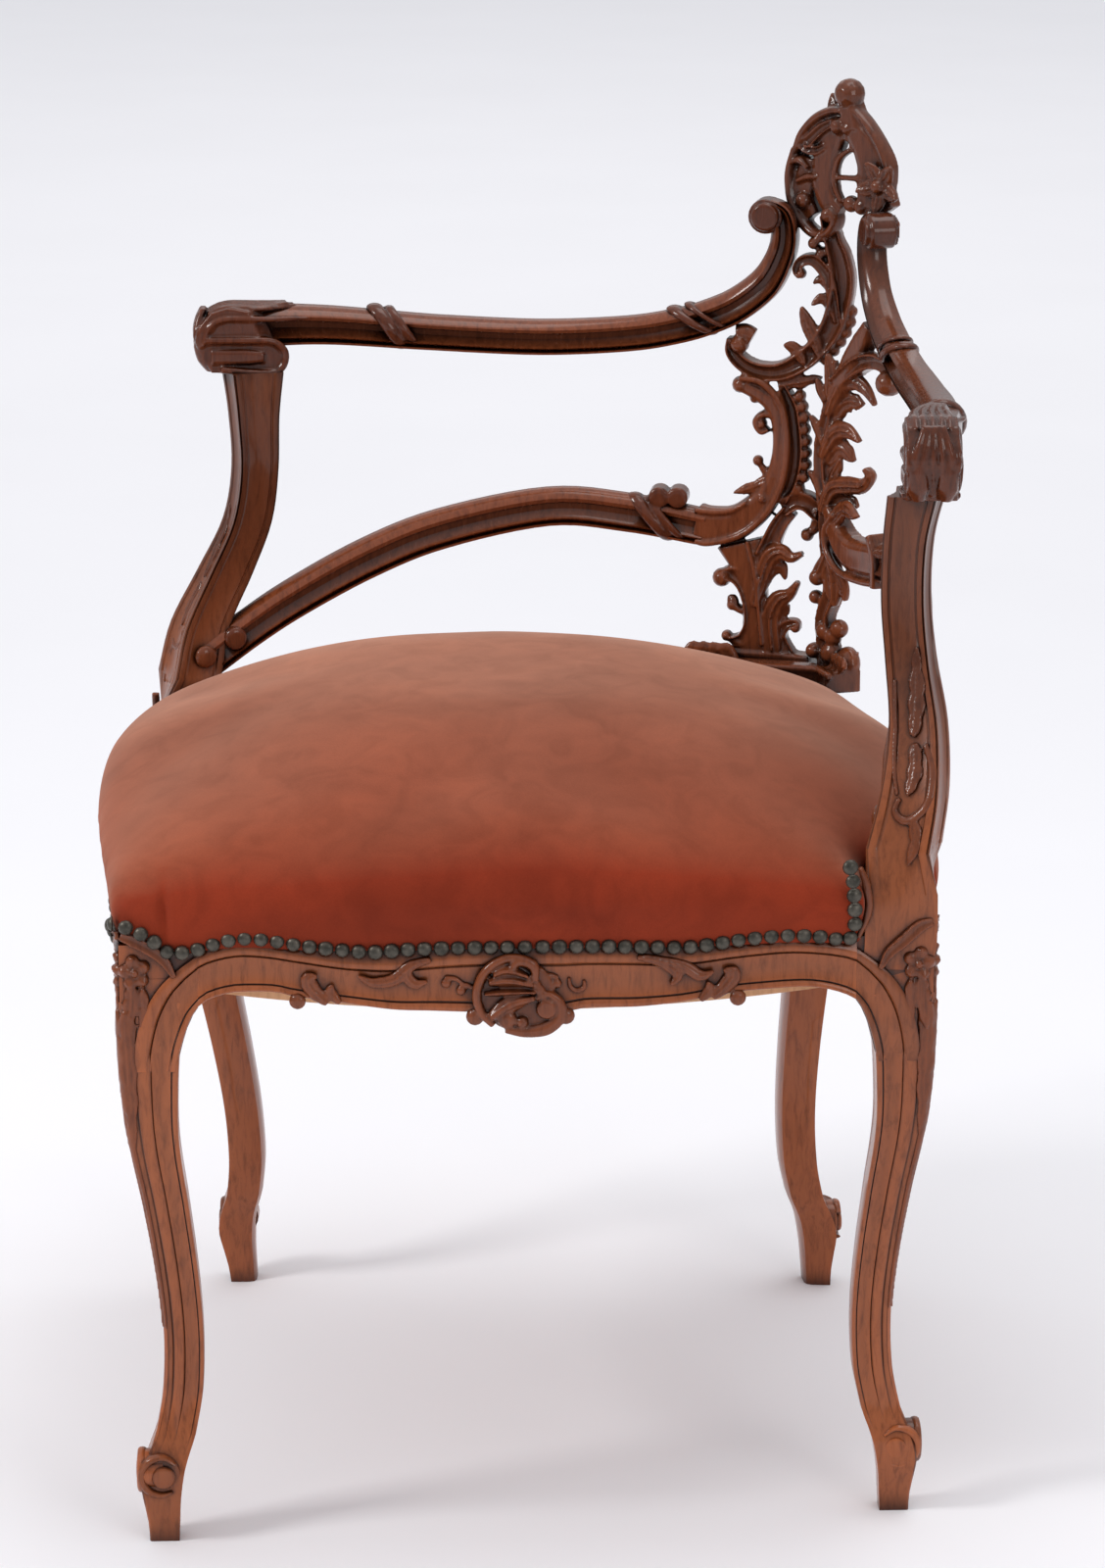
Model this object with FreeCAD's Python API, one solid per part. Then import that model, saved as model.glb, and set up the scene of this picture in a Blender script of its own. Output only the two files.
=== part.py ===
import FreeCAD, Part
import os
import math
from FreeCAD import Vector

# Corner chair in carved walnut. Millimetres, floor at Z 0, front corner to -Y,
# tall back corner to +Y, the two arm corners at -X and +X.

# Plan of the four feet, and of the seat corners above them.
FRONT_FOOT_Y = -335.0
SIDE_FOOT_X = 326.0
SIDE_FOOT_Y = 47.0
BACK_FOOT_Y = 346.0
SEAT_FRONT_Y = -370.0
SEAT_SIDE_X = 380.0
SEAT_SIDE_Y = 20.0
SEAT_BACK_Y = 362.0

# Seat frame
RAIL_TOP = 428.0
RAIL_THICK = 27.0
RAIL_BOW = 8.0           # outward bow of each rail at its middle
APRON_END = 394.0        # lower edge where it leaves the arch over a leg
APRON_MID = 376.0        # lower edge at the middle
SHELL_DROP = 12.0        # carved shell hanging under the middle
SHELL_HALF = 30.0
ARCH_RADIUS = 44.0
ARCH_START = 45.0        # inner edge of the leg under the rail, from the corner
ARCH_FOOT = 170.0        # where the ear dies into the leg, degrees round the arch
BEAD_HEIGHT = 7.0        # moulding bead under the nails
BEAD_OUT = 3.0
NAIL_BAND = 14.0         # flat strip for the nails
FIELD_DEEP = 2.5         # hollow field under the bead
BLOCK_WIDTH = 54.0       # leg block along each rail
BLOCK_LOW = 382.0
TENON_LONG = 22.0
TENON_THICK = 10.0
TENON_LOW = 398.0
TENON_HIGH = 420.0
LINER_THICK = 12.0       # pale lining strip glued behind the rail
LINER_LOW = 372.0
LINER_HIGH = 402.0
LINER_INSET = 8.0        # stands in from the leg block

# Cabriole leg: height, outward shift off the line from foot to seat block, width
LEG_STATIONS = [
    (0.0, 0.0, 20.0), (28.0, 1.0, 23.0), (50.0, -1.0, 27.0), (75.0, -13.0, 27.0),
    (105.0, -21.0, 27.0), (145.0, -23.0, 27.0), (190.0, -19.0, 28.0), (240.0, -11.0, 30.0),
    (290.0, -2.0, 33.0), (330.0, 0.0, 37.0), (360.0, -1.0, 40.0), (388.0, -2.5, 42.0),
]
LEG_ROUND = 0.16         # corner rounding as a share of the width
FOOT_BUTTON_Z = 50.0
FOOT_BUTTON_R = 10.0
FOOT_BUTTON_OUT = 4.0
FOOT_SCROLL_R = 15.0
FOOT_STAGGER = 1.3       # the second scroll is this much smaller and higher
EAR_DEEP = 3.0           # the arched ear stands back from the rail face

# Side surface that carries arms, posts and lower rails: one arc each side in plan
CORNER_Y = 366.0         # where the two side arcs meet behind the seat
SIDE_RADIUS = 720.0
SIDE_TURN = 26.0         # degrees from the cross direction at the back corner

# Arm post on a side leg: height, distance along the side arc, out of it, length, thickness
POST_STATIONS = [
    (484.0, 496.0, 9.0, 37.0, 44.0), (520.0, 486.0, 13.0, 35.0, 40.0), (560.0, 467.0, 10.0, 34.0, 34.0),
    (600.0, 452.0, 1.0, 31.0, 30.0), (640.0, 447.0, -4.0, 30.0, 29.5), (680.0, 447.0, -3.0, 33.0, 30.0),
    (706.0, 446.0, 2.0, 40.0, 34.0),
]
POST_ROUND = 5.0
POST_BASE_WIDE = 48.0    # square foot of the post on the leg block
POST_BASE_STEP = 1.0     # stands in from the faces of the block
POST_BASE_ROUND = 8.0
POST_BASE_HIGH = 24.0    # that it keeps above the rail
POST_TENON = 14.0        # square tenon up into the arm
POST_TENON_HIGH = 20.0

# Arm rail: distance along the side arc, out of it, height of the centre, height, thickness
ARM_STATIONS = [
    (458.0, 11.0, 742.0, 32.0, 33.0), (422.0, 10.0, 744.0, 30.0, 31.0), (383.0, 8.0, 742.0, 27.0, 28.0),
    (309.0, 4.0, 735.0, 26.0, 26.0), (231.0, 1.0, 731.0, 26.0, 25.0), (165.0, 0.0, 734.0, 26.0, 23.0),
    (110.0, 0.0, 746.0, 25.0, 21.0), (78.0, 0.0, 764.0, 24.0, 20.0), (56.0, 0.0, 787.0, 23.0, 19.0),
    (49.0, 0.0, 815.0, 20.0, 18.0),
]
ARM_COVE = 2.6
ARM_ROUND = 5.0
SCROLL_LONG = 64.0       # front scroll block
SCROLL_AT = 450.0
SCROLL_OUT = 11.0
SCROLL_LOW = 706.0
SCROLL_HIGH = 756.0
SCROLL_THICK = 33.0
SCROLL_R = 15.0
VOLUTE_S = 59.0
VOLUTE_Z = 825.0
VOLUTE_R = 19.0
VOLUTE_THICK = 20.0
VOLUTE_EYE_R = 10.0
VOLUTE_EYE_OUT = 3.0

# Lower back rail, same wording as the arm
LOWER_STATIONS = [
    (490.0, 2.0, 493.0, 28.0, 21.0), (417.0, 0.0, 538.0, 28.0, 22.0), (360.0, 0.0, 566.0, 28.0, 22.0),
    (305.0, 0.0, 586.0, 28.0, 22.0), (224.0, 0.0, 602.0, 27.0, 21.0), (165.0, 0.0, 597.0, 28.0, 20.0),
    (106.0, 0.0, 588.0, 28.0, 18.0),
]
LOWER_IN_SEAT = 4        # stations of the lower rail that pass over the seat edge
LOWER_BOSS_S = 148.0
LOWER_BOSS_Z = 608.0
LOWER_BOSS_R = 8.0
LOWER_BOSS_GAP = 14.0
LOWER_WRAP_R = 18.0

# Back leg stub through the stuffing
STUB_WIDE = 30.0
STUB_IN = 30.0

# Pierced splat panels, flat, in panel distance s and height z
PANEL_TURN = 30.0
PANEL_THICK = 16.0
SPINE_HALF = 9.0
SPINE_IN = 12.0          # stem stands forward of the corner
SHOE_LEFT_LONG = 108.0
SHOE_RIGHT_LONG = 66.0
SHOE_LOW = 473.0
SHOE_HIGH = 491.0
SHOE_DEEP = 34.0
SHOE_IN = 8.0            # shoe stands forward of the panels
SHOE_PEG_IN = 24.0
SHOE_BEHIND = 72.0       # the stuffing stops behind the shoe
PEG_S = 80.0
PEG_Z = 736.0
PEG_R = 9.5
PEG_OUT = 5.0
PANEL_FOOT = SHOE_HIGH - 1.0
SPINE_TOP = 722.0
STEM = (
    [(92, 730), (76, 707), (52, 702), (27, 711), (9, 745), (2, 780), (4, 824)],
    [(74, 728), (58, 718), (43, 725), (25, 752), (16, 785), (16, 824)],
)
BEADED_SCROLL = (
    [(50, 706), (33, 690), (28, 662), (31, 630), (47, 600)],
    [(85, 697), (66, 686), (51, 665), (52, 642), (66, 612)],
)
PLAIN_BAND = (
    [(107, 602), (86, 602), (72, 608), (60, 620)],
    [(107, 574), (80, 576), (59, 588), (42, 608)],
)
FOOT_PLATE = (
    [(97, 577), (78, 548), (80, 520), (91, PANEL_FOOT)],
    [(47, 602), (55, 570), (46, 535), (24, PANEL_FOOT)],
)
BRIDGE = ([(46, 611), (30, 618), (18, 610), (5, 592)], [(48, 596), (38, 597), (24, 592), (5, 574)])
CURLED_LEAF = ([(7, 766), (15, 788), (28, 797)], [(15, 762), (21, 777), (29, 785)])
LEFT_LEAVES = [
    ((40, 723), (34, 757), (28, 738), 2.0), ((62, 618), (84, 615), (58, 630), 3.0),
    ((53, 558), (28, 571), (55, 580), 4.0), ((46, 522), (29, 547), (50, 542), 4.0),
    ((30, 492), (36, 517), (42, 500), 2.0), ((52, 634), (70, 640), (50, 650), 2.0),
]
LEFT_DISCS = [
    (56, 669, 6.5), (86, 553, 9.0), (80, 528, 7.0), (85, 498, 7.0), (30, 590, 6.5), (30, 790, 7.0),
]
PLUME = ([(3, 700), (16, 736), (36, 795)], [(12, 696), (36, 738), (56, 766)])
ARCH_BAND = ([(6, 714), (34, 741), (58, 744), (86, 732)], [(6, 694), (34, 721), (56, 728), (76, 726)])
RIGHT_BAND = ([(107, 602), (72, 600), (40, 608), (5, 642)], [(107, 574), (66, 571), (34, 577), (5, 604)])
RIGHT_FOOT = ([(3, 578), (3, PANEL_FOOT)], [(26, 578), (20, 535), (42, PANEL_FOOT)])
RIGHT_LEAVES = [
    ((5, 664), (48, 690), (5, 688), 6.0), ((5, 636), (40, 662), (5, 658), 6.0),
    ((5, 606), (50, 640), (5, 632), 6.0), ((16, 548), (36, 540), (18, 566), 4.0),
]
RIGHT_DISCS = [(26, 506, 8.0), (14, 522, 9.0)]
LEFT_PEG_S = (45.0, 68.0)   # dowels into the shoe
RIGHT_PEG_S = (16.0, 28.0)

# Crest cartouche and ball finial
CREST_THICK = 14.0
CREST_HALF = 52.0
CREST_BACK = 3.0         # crest stands behind the panels
CREST_LOW = 815.0
CREST_WAIST = 850.0
CREST_TOP = 906.0
CREST_EYE_HALF = 9.0
CREST_EYE_TALL = 17.0
CREST_EYE_Z = 855.0
CREST_EYE_X = 4.0
# right half of the outline: share of the half width, height
CREST_OUTLINE = [
    (0.0, CREST_TOP), (0.44, CREST_TOP - 13.0), (0.82, CREST_WAIST + 23.0), (1.0, CREST_WAIST),
    (0.86, CREST_WAIST - 24.0), (0.44, CREST_LOW), (0.0, CREST_LOW + 7.0),
]
CREST_PEG_BACK = 17.0    # dowel from the volute into the crest
FINIAL_Z = 914.5
FINIAL_R = 11.5

# Upholstery
WEB_WIDE = 50.0
WEB_THICK = 1.5
WEB_COUNT = 4
WEB_STEP = 78.0
CANVAS_THICK = 1.0
SOFT_GAP = 0.4
COVER_THICK = 2.2
PAD_GAP = 1.6            # the hair pad stands this far inside the cover
# cushion outline: height, how far it stands outside the rail face, corner softening, bow
CUSHION_STATIONS = [
    (446.0, 5.0, 34.0, 13.0), (460.0, 6.0, 48.0, 20.0), (474.0, 2.0, 72.0, 26.0),
    (486.0, -6.0, 102.0, 28.0), (497.0, -18.0, 132.0, 27.0), (508.0, -35.0, 152.0, 24.0), (519.0, -58.0, 158.0, 20.0),
    (530.0, -86.0, 148.0, 15.0), (540.0, -118.0, 125.0, 10.0), (547.0, -148.0, 105.0, 6.0),
    (550.0, -172.0, 85.0, 3.0),
]
CUSHION_CORNER = 28.0    # corner softening along each side at the rail
WEB_INSET = 11.0
POST_CLEAR = 2.0
ROOM_REACH = 60.0        # corner rooms run past the bulge of the cushion

# Nails, blocks, pegs
NAIL_R = 5.6
NAIL_HIGH = 3.4
NAIL_CROWN = 0.35        # flat of the dome as a share of the radius
NAIL_STEP = 12.6
NAIL_DROP = 7.0          # nail row under the rail top
NAIL_START = 24.0
CORNER_REACH = 43.0      # corner block along each rail past the leg block
CORNER_THICK = 15.0
SCREW_R = 3.0
SCREW_HEAD_R = 5.5
SCREW_HEAD = 3.0
SCREW_HEAD_FLAT_R = 4.0
SCREW_LONG = 38.0
SCREW_GAP = 18.0
DOWEL_R = 3.5
DOWEL_LONG = 24.0
LEFT = -1
RIGHT = 1


def unit(v):
    return Vector(v).normalize()


def prism(points, rise):
    return Part.Face(Part.makePolygon(points + [points[0]])).extrude(rise)


def rounded_wire(points, radii):
    """Closed outline of straight lines with an arc at every corner."""
    edges = []
    joints = []
    count = len(points)
    for i in range(count):
        here = points[i]
        back = unit(points[i - 1] - here)
        ahead = unit(points[(i + 1) % count] - here)
        half = back.getAngle(ahead) / 2.0
        run = radii[i] / math.tan(half)
        middle = unit(back + ahead)
        centre = here + middle * (radii[i] / math.sin(half))
        joints.append((here + back * run, centre - middle * radii[i], here + ahead * run))
    for i in range(count):
        start, middle, end = joints[i]
        edges.append(Part.Arc(start, middle, end).toShape())
        edges.append(Part.makeLine(end, joints[(i + 1) % count][0]))
    return Part.Wire(edges)


def line_meet(p, d, q, e):
    """Point where the line p + d meets the line q + e, seen from above."""
    across = d.x * e.y - d.y * e.x
    run = ((q.x - p.x) * e.y - (q.y - p.y) * e.x) / across
    return p + d * run


FEET = [
    Vector(0, FRONT_FOOT_Y, 0), Vector(SIDE_FOOT_X, SIDE_FOOT_Y, 0),
    Vector(0, BACK_FOOT_Y, 0), Vector(-SIDE_FOOT_X, SIDE_FOOT_Y, 0),
]
SEAT = [
    Vector(0, SEAT_FRONT_Y, 0), Vector(SEAT_SIDE_X, SEAT_SIDE_Y, 0),
    Vector(0, SEAT_BACK_Y, 0), Vector(-SEAT_SIDE_X, SEAT_SIDE_Y, 0),
]
FRONT, RIGHT_SIDE, BACK, LEFT_SIDE = range(4)
UP = Vector(0, 0, 1)


def side_dir(i):
    return unit(SEAT[(i + 1) % 4] - SEAT[i])


def side_out(i):
    d = side_dir(i)
    return Vector(d.y, -d.x, 0)


def corner(i, grow=0.0):
    """Corner of the seat outline at foot i, grown outward past the rail face."""
    before = (i - 1) % 4
    p = SEAT[i] + side_out(before) * grow
    q = SEAT[i] + side_out(i) * grow
    return line_meet(p, side_dir(before), q, side_dir(i))


def side_length(i):
    return (corner((i + 1) % 4) - corner(i)).Length


def bow_radius(i):
    half = side_length(i) / 2.0 - BLOCK_WIDTH
    return (half * half + RAIL_BOW * RAIL_BOW) / (2.0 * RAIL_BOW)


def at_side(i, along, out=0.0, z=0.0):
    """Point on side i: distance from its first corner, out of the face, height."""
    return corner(i) + side_dir(i) * along + side_out(i) * out + UP * z


def bow_at(i, along):
    """How far the bowed rail face stands out at a distance along its side."""
    half = side_length(i) / 2.0 - BLOCK_WIDTH
    off = abs(along - side_length(i) / 2.0)
    if off >= half:
        return 0.0
    radius = bow_radius(i)
    return math.sqrt(radius * radius - off * off) - (radius - RAIL_BOW)


def seat_wire(grow, z, cut=CUSHION_CORNER, bow=RAIL_BOW):
    """Seat outline with softened corners and bowed sides."""
    edges = []
    for i in range(4):
        before = (i - 1) % 4
        tip = corner(i, grow) + UP * z
        start = tip - side_dir(before) * cut
        end = tip + side_dir(i) * cut
        inward = unit(side_dir(i) - side_dir(before))
        half = side_dir(i).getAngle(side_dir(before) * -1.0) / 2.0
        retreat = cut * math.tan(half) * (1.0 / math.sin(half) - 1.0)
        edges.append(Part.Arc(start, tip + inward * retreat, end).toShape())
        far = corner((i + 1) % 4, grow) + UP * z - side_dir(i) * cut
        middle = (end + far) * 0.5 + side_out(i) * bow
        edges.append(Part.Arc(end, middle, far).toShape())
    return Part.Wire(edges)


def leg_section(i, z, shift, wide):
    """Rounded section of leg i with its faces along the two rails."""
    a = side_dir(i)
    c = side_dir((i - 1) % 4) * -1.0
    outward = unit(a + c) * -1.0
    share = z / LEG_STATIONS[-1][0]
    head = corner(i) + (a + c) * (LEG_STATIONS[-1][2] / 2.0)
    mid = FEET[i] * (1.0 - share) + head * share + outward * shift + UP * z
    h = wide / 2.0
    points = [mid - a * h - c * h, mid + a * h - c * h, mid + a * h + c * h, mid + c * h - a * h]
    r = wide * LEG_ROUND
    return rounded_wire(points, [r, r, r, r])


def leg_block(i, low, high):
    """Square head of a leg that takes the two rails."""
    a = side_dir(i)
    c = side_dir((i - 1) % 4) * -1.0
    tip = corner(i) + UP * low
    points = [
        tip, tip + a * BLOCK_WIDTH, tip + a * BLOCK_WIDTH - side_out(i) * RAIL_THICK,
        tip + c * BLOCK_WIDTH - side_out((i - 1) % 4) * RAIL_THICK, tip + c * BLOCK_WIDTH,
    ]
    block = prism(points, UP * (high - low))
    edge = [e for e in block.Edges if e.CenterOfMass.isEqual(tip + UP * (high - low) / 2.0, 1e-3)]
    return block.makeFillet(BLOCK_WIDTH * LEG_ROUND, edge)


def ear(i, from_start):
    """Arched ear between a leg and the underside of a rail."""
    length = side_length(i)

    def spot(along, z):
        place = along if from_start else length - along
        return at_side(i, place, -EAR_DEEP, z)

    centre_x = ARCH_START + ARCH_RADIUS
    centre_z = APRON_END - ARCH_RADIUS
    bend = math.radians(ARCH_FOOT)
    reach = math.acos((BLOCK_WIDTH - centre_x) / ARCH_RADIUS)

    def arch(angle):
        return spot(centre_x + ARCH_RADIUS * math.cos(angle), centre_z + ARCH_RADIUS * math.sin(angle))

    first = arch(bend)
    inner = spot(BLOCK_WIDTH / 2.0, centre_z + ARCH_RADIUS * math.sin(bend))
    high_in = spot(BLOCK_WIDTH / 2.0, BLOCK_LOW + EAR_DEEP)
    high_out = spot(BLOCK_WIDTH, BLOCK_LOW + EAR_DEEP)
    last = arch(reach)
    wire = Part.Wire([
        Part.Arc(first, arch((bend + reach) / 2.0), last).toShape(), Part.makeLine(last, high_out),
        Part.makeLine(high_out, high_in), Part.makeLine(high_in, inner), Part.makeLine(inner, first),
    ])
    return Part.Face(wire).extrude(side_out(i) * -(RAIL_THICK - 2.0 * EAR_DEEP))


def foot_scroll(i):
    """Scrolled toe with a round button on each outer face."""
    parts = []
    a = side_dir(i)
    c = side_dir((i - 1) % 4) * -1.0
    outward = unit(a + c) * -1.0
    half = LEG_STATIONS[2][2] / 2.0
    for step, (face, other) in enumerate(((a, c), (c, a))):
        less = step * FOOT_STAGGER
        normal = Vector(face.y, -face.x, 0)
        if normal.dot(other) > 0:
            normal = normal * -1.0
        mid = FEET[i] + outward * FOOT_BUTTON_OUT + UP * (FOOT_BUTTON_Z + less)
        start = mid - normal * half
        length = 2.0 * half
        parts.append(Part.makeCylinder(FOOT_SCROLL_R - less, length, start, normal))
        parts.append(Part.makeCylinder(FOOT_BUTTON_R - less, length + FOOT_BUTTON_OUT, start, normal))
    return parts


def tenons(i):
    """The two tenons of rail i."""
    out = -(RAIL_THICK - TENON_THICK) / 2.0
    found = []
    for start in (BLOCK_WIDTH - TENON_LONG, side_length(i) - BLOCK_WIDTH):
        points = [
            at_side(i, start, out, TENON_LOW), at_side(i, start + TENON_LONG, out, TENON_LOW),
            at_side(i, start + TENON_LONG, out - TENON_THICK, TENON_LOW),
            at_side(i, start, out - TENON_THICK, TENON_LOW),
        ]
        found.append(prism(points, UP * (TENON_HIGH - TENON_LOW)))
    return found


def side_point(side, s, out=0.0, z=0.0):
    """Point on the side arc: distance from the back corner, out of the arc, height."""
    turn = math.radians(SIDE_TURN)
    here = turn + s / SIDE_RADIUS
    x = SIDE_RADIUS * (math.sin(here) - math.sin(turn)) + out * math.sin(here)
    y = CORNER_Y - SIDE_RADIUS * (math.cos(turn) - math.cos(here)) + out * math.cos(here)
    return Vector(side * x, y, z)


def side_normal(side, s):
    return side_point(side, s, 1.0) - side_point(side, s)


def moulded_section(mid, up, out, high, thick):
    """Rail section: rolled top, hollow inner face and a bead along the bottom."""
    h = high / 2.0
    t = thick / 2.0
    r = ARM_ROUND

    def p(o, z):
        return mid + out * o + up * z

    k = r * (1.0 - math.sqrt(0.5))
    low = -h + r
    return Part.Wire([
        Part.Arc(p(-t, h - r), p(-t + k, h - k), p(-t + r, h)).toShape(),
        Part.makeLine(p(-t + r, h), p(t - r, h)),
        Part.Arc(p(t - r, h), p(t - k, h - k), p(t, h - r)).toShape(),
        Part.makeLine(p(t, h - r), p(t, low)),
        Part.Arc(p(t, low), p(t - k, -h + k), p(t - r, -h)).toShape(),
        Part.makeLine(p(t - r, -h), p(-t + r, -h)),
        Part.Arc(p(-t + r, -h), p(-t + k, -h + k), p(-t, low)).toShape(),
        Part.Arc(p(-t, low), p(-t + ARM_COVE, (h - r + low) / 2.0), p(-t, h - r)).toShape(),
    ])


def swept_rail(side, stations):
    """Moulded rail through its stations along the side arc."""
    mids = [side_point(side, s, away, z) for s, away, z, high, thick in stations]
    wires = []
    for i, (s, away, z, high, thick) in enumerate(stations):
        ahead = mids[min(i + 1, len(mids) - 1)] - mids[max(i - 1, 0)]
        out = side_normal(side, s)
        up = unit(ahead.cross(out))
        if side == RIGHT:
            up = up * -1.0
        wires.append(moulded_section(mids[i], up, out, high, thick))
    return Part.makeLoft(wires, True)


def forward(side, s):
    """Direction along the side arc toward the front."""
    return unit(side_normal(side, s).cross(UP)) * side


def post_section(side, z, s, away, long, thick):
    mid = side_point(side, s, away, z)
    a = forward(side, s) * (long / 2.0)
    o = side_normal(side, s) * (thick / 2.0)
    return rounded_wire([mid - a - o, mid + a - o, mid + a + o, mid - a + o], [POST_ROUND] * 4)


def post_tenon(side):
    """Square tenon on top of an arm post."""
    z, s, away, long, thick = POST_STATIONS[-1]
    h = POST_TENON / 2.0
    out = side_normal(side, s)
    along = forward(side, s)
    mid = side_point(side, s, (away + SCROLL_OUT) / 2.0, z)
    points = [mid - along * h - out * h, mid + along * h - out * h]
    points += [mid + along * h + out * h, mid - along * h + out * h]
    return prism(points, UP * POST_TENON_HIGH)


def post_base(i, z, clear=0.0):
    """Square outline where a post grows out of its leg block."""
    ahead = side_dir((i - 1) % 4) * -1.0
    behind = side_dir(i)
    if i == LEFT_SIDE:
        ahead, behind = behind, ahead
    tip = corner(i, clear - POST_BASE_STEP) + UP * z
    w = POST_BASE_WIDE + 2.0 * clear
    points = [tip + (ahead + behind) * w, tip + ahead * w, tip, tip + behind * w]
    return rounded_wire(points, [POST_BASE_ROUND] * 4)


def post_wires(side, i, clear=0.0):
    """Outlines of a post from the leg block up to the arm."""
    g = 2.0 * clear
    wires = [post_base(i, RAIL_TOP, clear), post_base(i, RAIL_TOP + POST_BASE_HIGH, clear)]
    for z, s, away, long, thick in POST_STATIONS:
        wires.append(post_section(side, z, s, away, long + g, thick + g))
    return wires


def arm_post(side, i):
    return Part.makeLoft(post_wires(side, i), True).fuse(post_tenon(side))


def make_leg(i, side=0):
    body = Part.makeLoft([leg_section(i, z, shift, wide) for z, shift, wide in LEG_STATIONS], True)
    pieces = [leg_block(i, BLOCK_LOW, RAIL_TOP), ear(i, True), ear((i - 1) % 4, False)]
    pieces += foot_scroll(i)
    if side:
        pieces.append(arm_post(side, i))
    if i == BACK:
        pieces.append(back_stub())
    for piece in pieces:
        body = body.fuse(piece)
    body = body.removeSplitter()
    for cutter in tenons(i) + tenons((i - 1) % 4):
        body = body.cut(cutter)
    return body


def back_stub():
    """Back leg carried up through the stuffing to hold the splat shoe."""
    h = STUB_WIDE / 2.0
    y = corner(BACK).y - STUB_IN
    return Part.makeBox(STUB_WIDE, STUB_WIDE, SHOE_LOW - RAIL_TOP + BEAD_HEIGHT,
                        Vector(-h, y - h, RAIL_TOP - BEAD_HEIGHT))


def apron_wire(i, out):
    """Elevation of a rail: straight top, arches at the ends, serpentine lower edge."""
    length = side_length(i)
    start = BLOCK_WIDTH
    end = length - BLOCK_WIDTH
    mid = length / 2.0
    arch_x = ARCH_START + ARCH_RADIUS
    reach = math.acos((start - arch_x) / ARCH_RADIUS)
    z_end = APRON_END - ARCH_RADIUS + ARCH_RADIUS * math.sin(reach)
    half_bend = (reach + math.pi / 2.0) / 2.0
    bend_x = arch_x + ARCH_RADIUS * math.cos(half_bend)
    bend_z = APRON_END - ARCH_RADIUS + ARCH_RADIUS * math.sin(half_bend)

    def p(along, z):
        return at_side(i, along, out, z)

    quarter = (arch_x + mid - SHELL_HALF) / 2.0
    slope = (APRON_END + APRON_MID) / 2.0
    left = [p(arch_x, APRON_END), p(quarter, slope), p(mid - SHELL_HALF, APRON_MID)]
    right = [p(mid + SHELL_HALF, APRON_MID), p(length - quarter, slope), p(length - arch_x, APRON_END)]
    flat = side_dir(i)
    curve_left = Part.BSplineCurve()
    curve_left.interpolate(left, InitialTangent=flat, FinalTangent=flat)
    curve_right = Part.BSplineCurve()
    curve_right.interpolate(right, InitialTangent=flat, FinalTangent=flat)
    return Part.Wire([
        Part.makeLine(p(end, RAIL_TOP), p(start, RAIL_TOP)),
        Part.makeLine(p(start, RAIL_TOP), p(start, z_end)),
        Part.Arc(p(start, z_end), p(bend_x, bend_z), left[0]).toShape(),
        curve_left.toShape(),
        Part.Arc(left[-1], p(mid, APRON_MID - SHELL_DROP), right[0]).toShape(),
        curve_right.toShape(),
        Part.Arc(right[-1], p(length - bend_x, bend_z), p(end, z_end)).toShape(),
        Part.makeLine(p(end, z_end), p(end, RAIL_TOP)),
    ])


def make_rail(i):
    """Bowed and moulded rail with a tenon at each end."""
    length = side_length(i)
    radius = bow_radius(i)
    axis = at_side(i, length / 2.0, RAIL_BOW - radius)
    out = side_out(i)
    base = axis + out * radius
    low = APRON_MID - SHELL_DROP - BEAD_OUT
    bead = RAIL_TOP - NAIL_BAND
    field = bead - BEAD_HEIGHT

    def p(o, z):
        return base + out * o + UP * z

    wire = Part.Wire([
        Part.makeLine(p(-RAIL_THICK - RAIL_BOW, low), p(-RAIL_THICK - RAIL_BOW, RAIL_TOP)),
        Part.makeLine(p(-RAIL_THICK - RAIL_BOW, RAIL_TOP), p(0, RAIL_TOP)),
        Part.makeLine(p(0, RAIL_TOP), p(0, bead)),
        Part.Arc(p(0, bead), p(BEAD_OUT, (bead + field) / 2.0), p(0, field)).toShape(),
        Part.Arc(p(0, field), p(-FIELD_DEEP, (field + low) / 2.0), p(0, low)).toShape(),
        Part.makeLine(p(0, low), p(-RAIL_THICK - RAIL_BOW, low)),
    ])
    sweep = math.degrees(math.asin(length / 2.0 / radius))
    face = Part.Face(wire)
    face.rotate(axis, UP, -sweep)
    body = face.revolve(axis, UP, 2.0 * sweep)
    outline = Part.Face(apron_wire(i, RAIL_BOW * 2.0)).extrude(out * -(RAIL_THICK + 2.0 * RAIL_BOW))
    rail = body.common(outline)
    for t in tenons(i):
        rail = rail.fuse(t)
    return rail.removeSplitter()


def make_liner(i):
    """Pale lining strip glued behind the carved rail, seen under its lower edge."""
    start = BLOCK_WIDTH + LINER_INSET
    end = side_length(i) - start
    mid = side_length(i) / 2.0
    back = -RAIL_THICK
    rise = (LINER_HIGH - LINER_LOW) / 2.0

    def p(along, z):
        return at_side(i, along, back, z)

    lower = Part.Arc(p(start, LINER_LOW + rise), p(mid, LINER_LOW), p(end, LINER_LOW + rise)).toShape()
    wire = Part.Wire([
        lower, Part.makeLine(p(end, LINER_LOW + rise), p(end, LINER_HIGH)),
        Part.makeLine(p(end, LINER_HIGH), p(start, LINER_HIGH)),
        Part.makeLine(p(start, LINER_HIGH), p(start, LINER_LOW + rise)),
    ])
    return Part.Face(wire).extrude(side_out(i) * -LINER_THICK)


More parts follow.
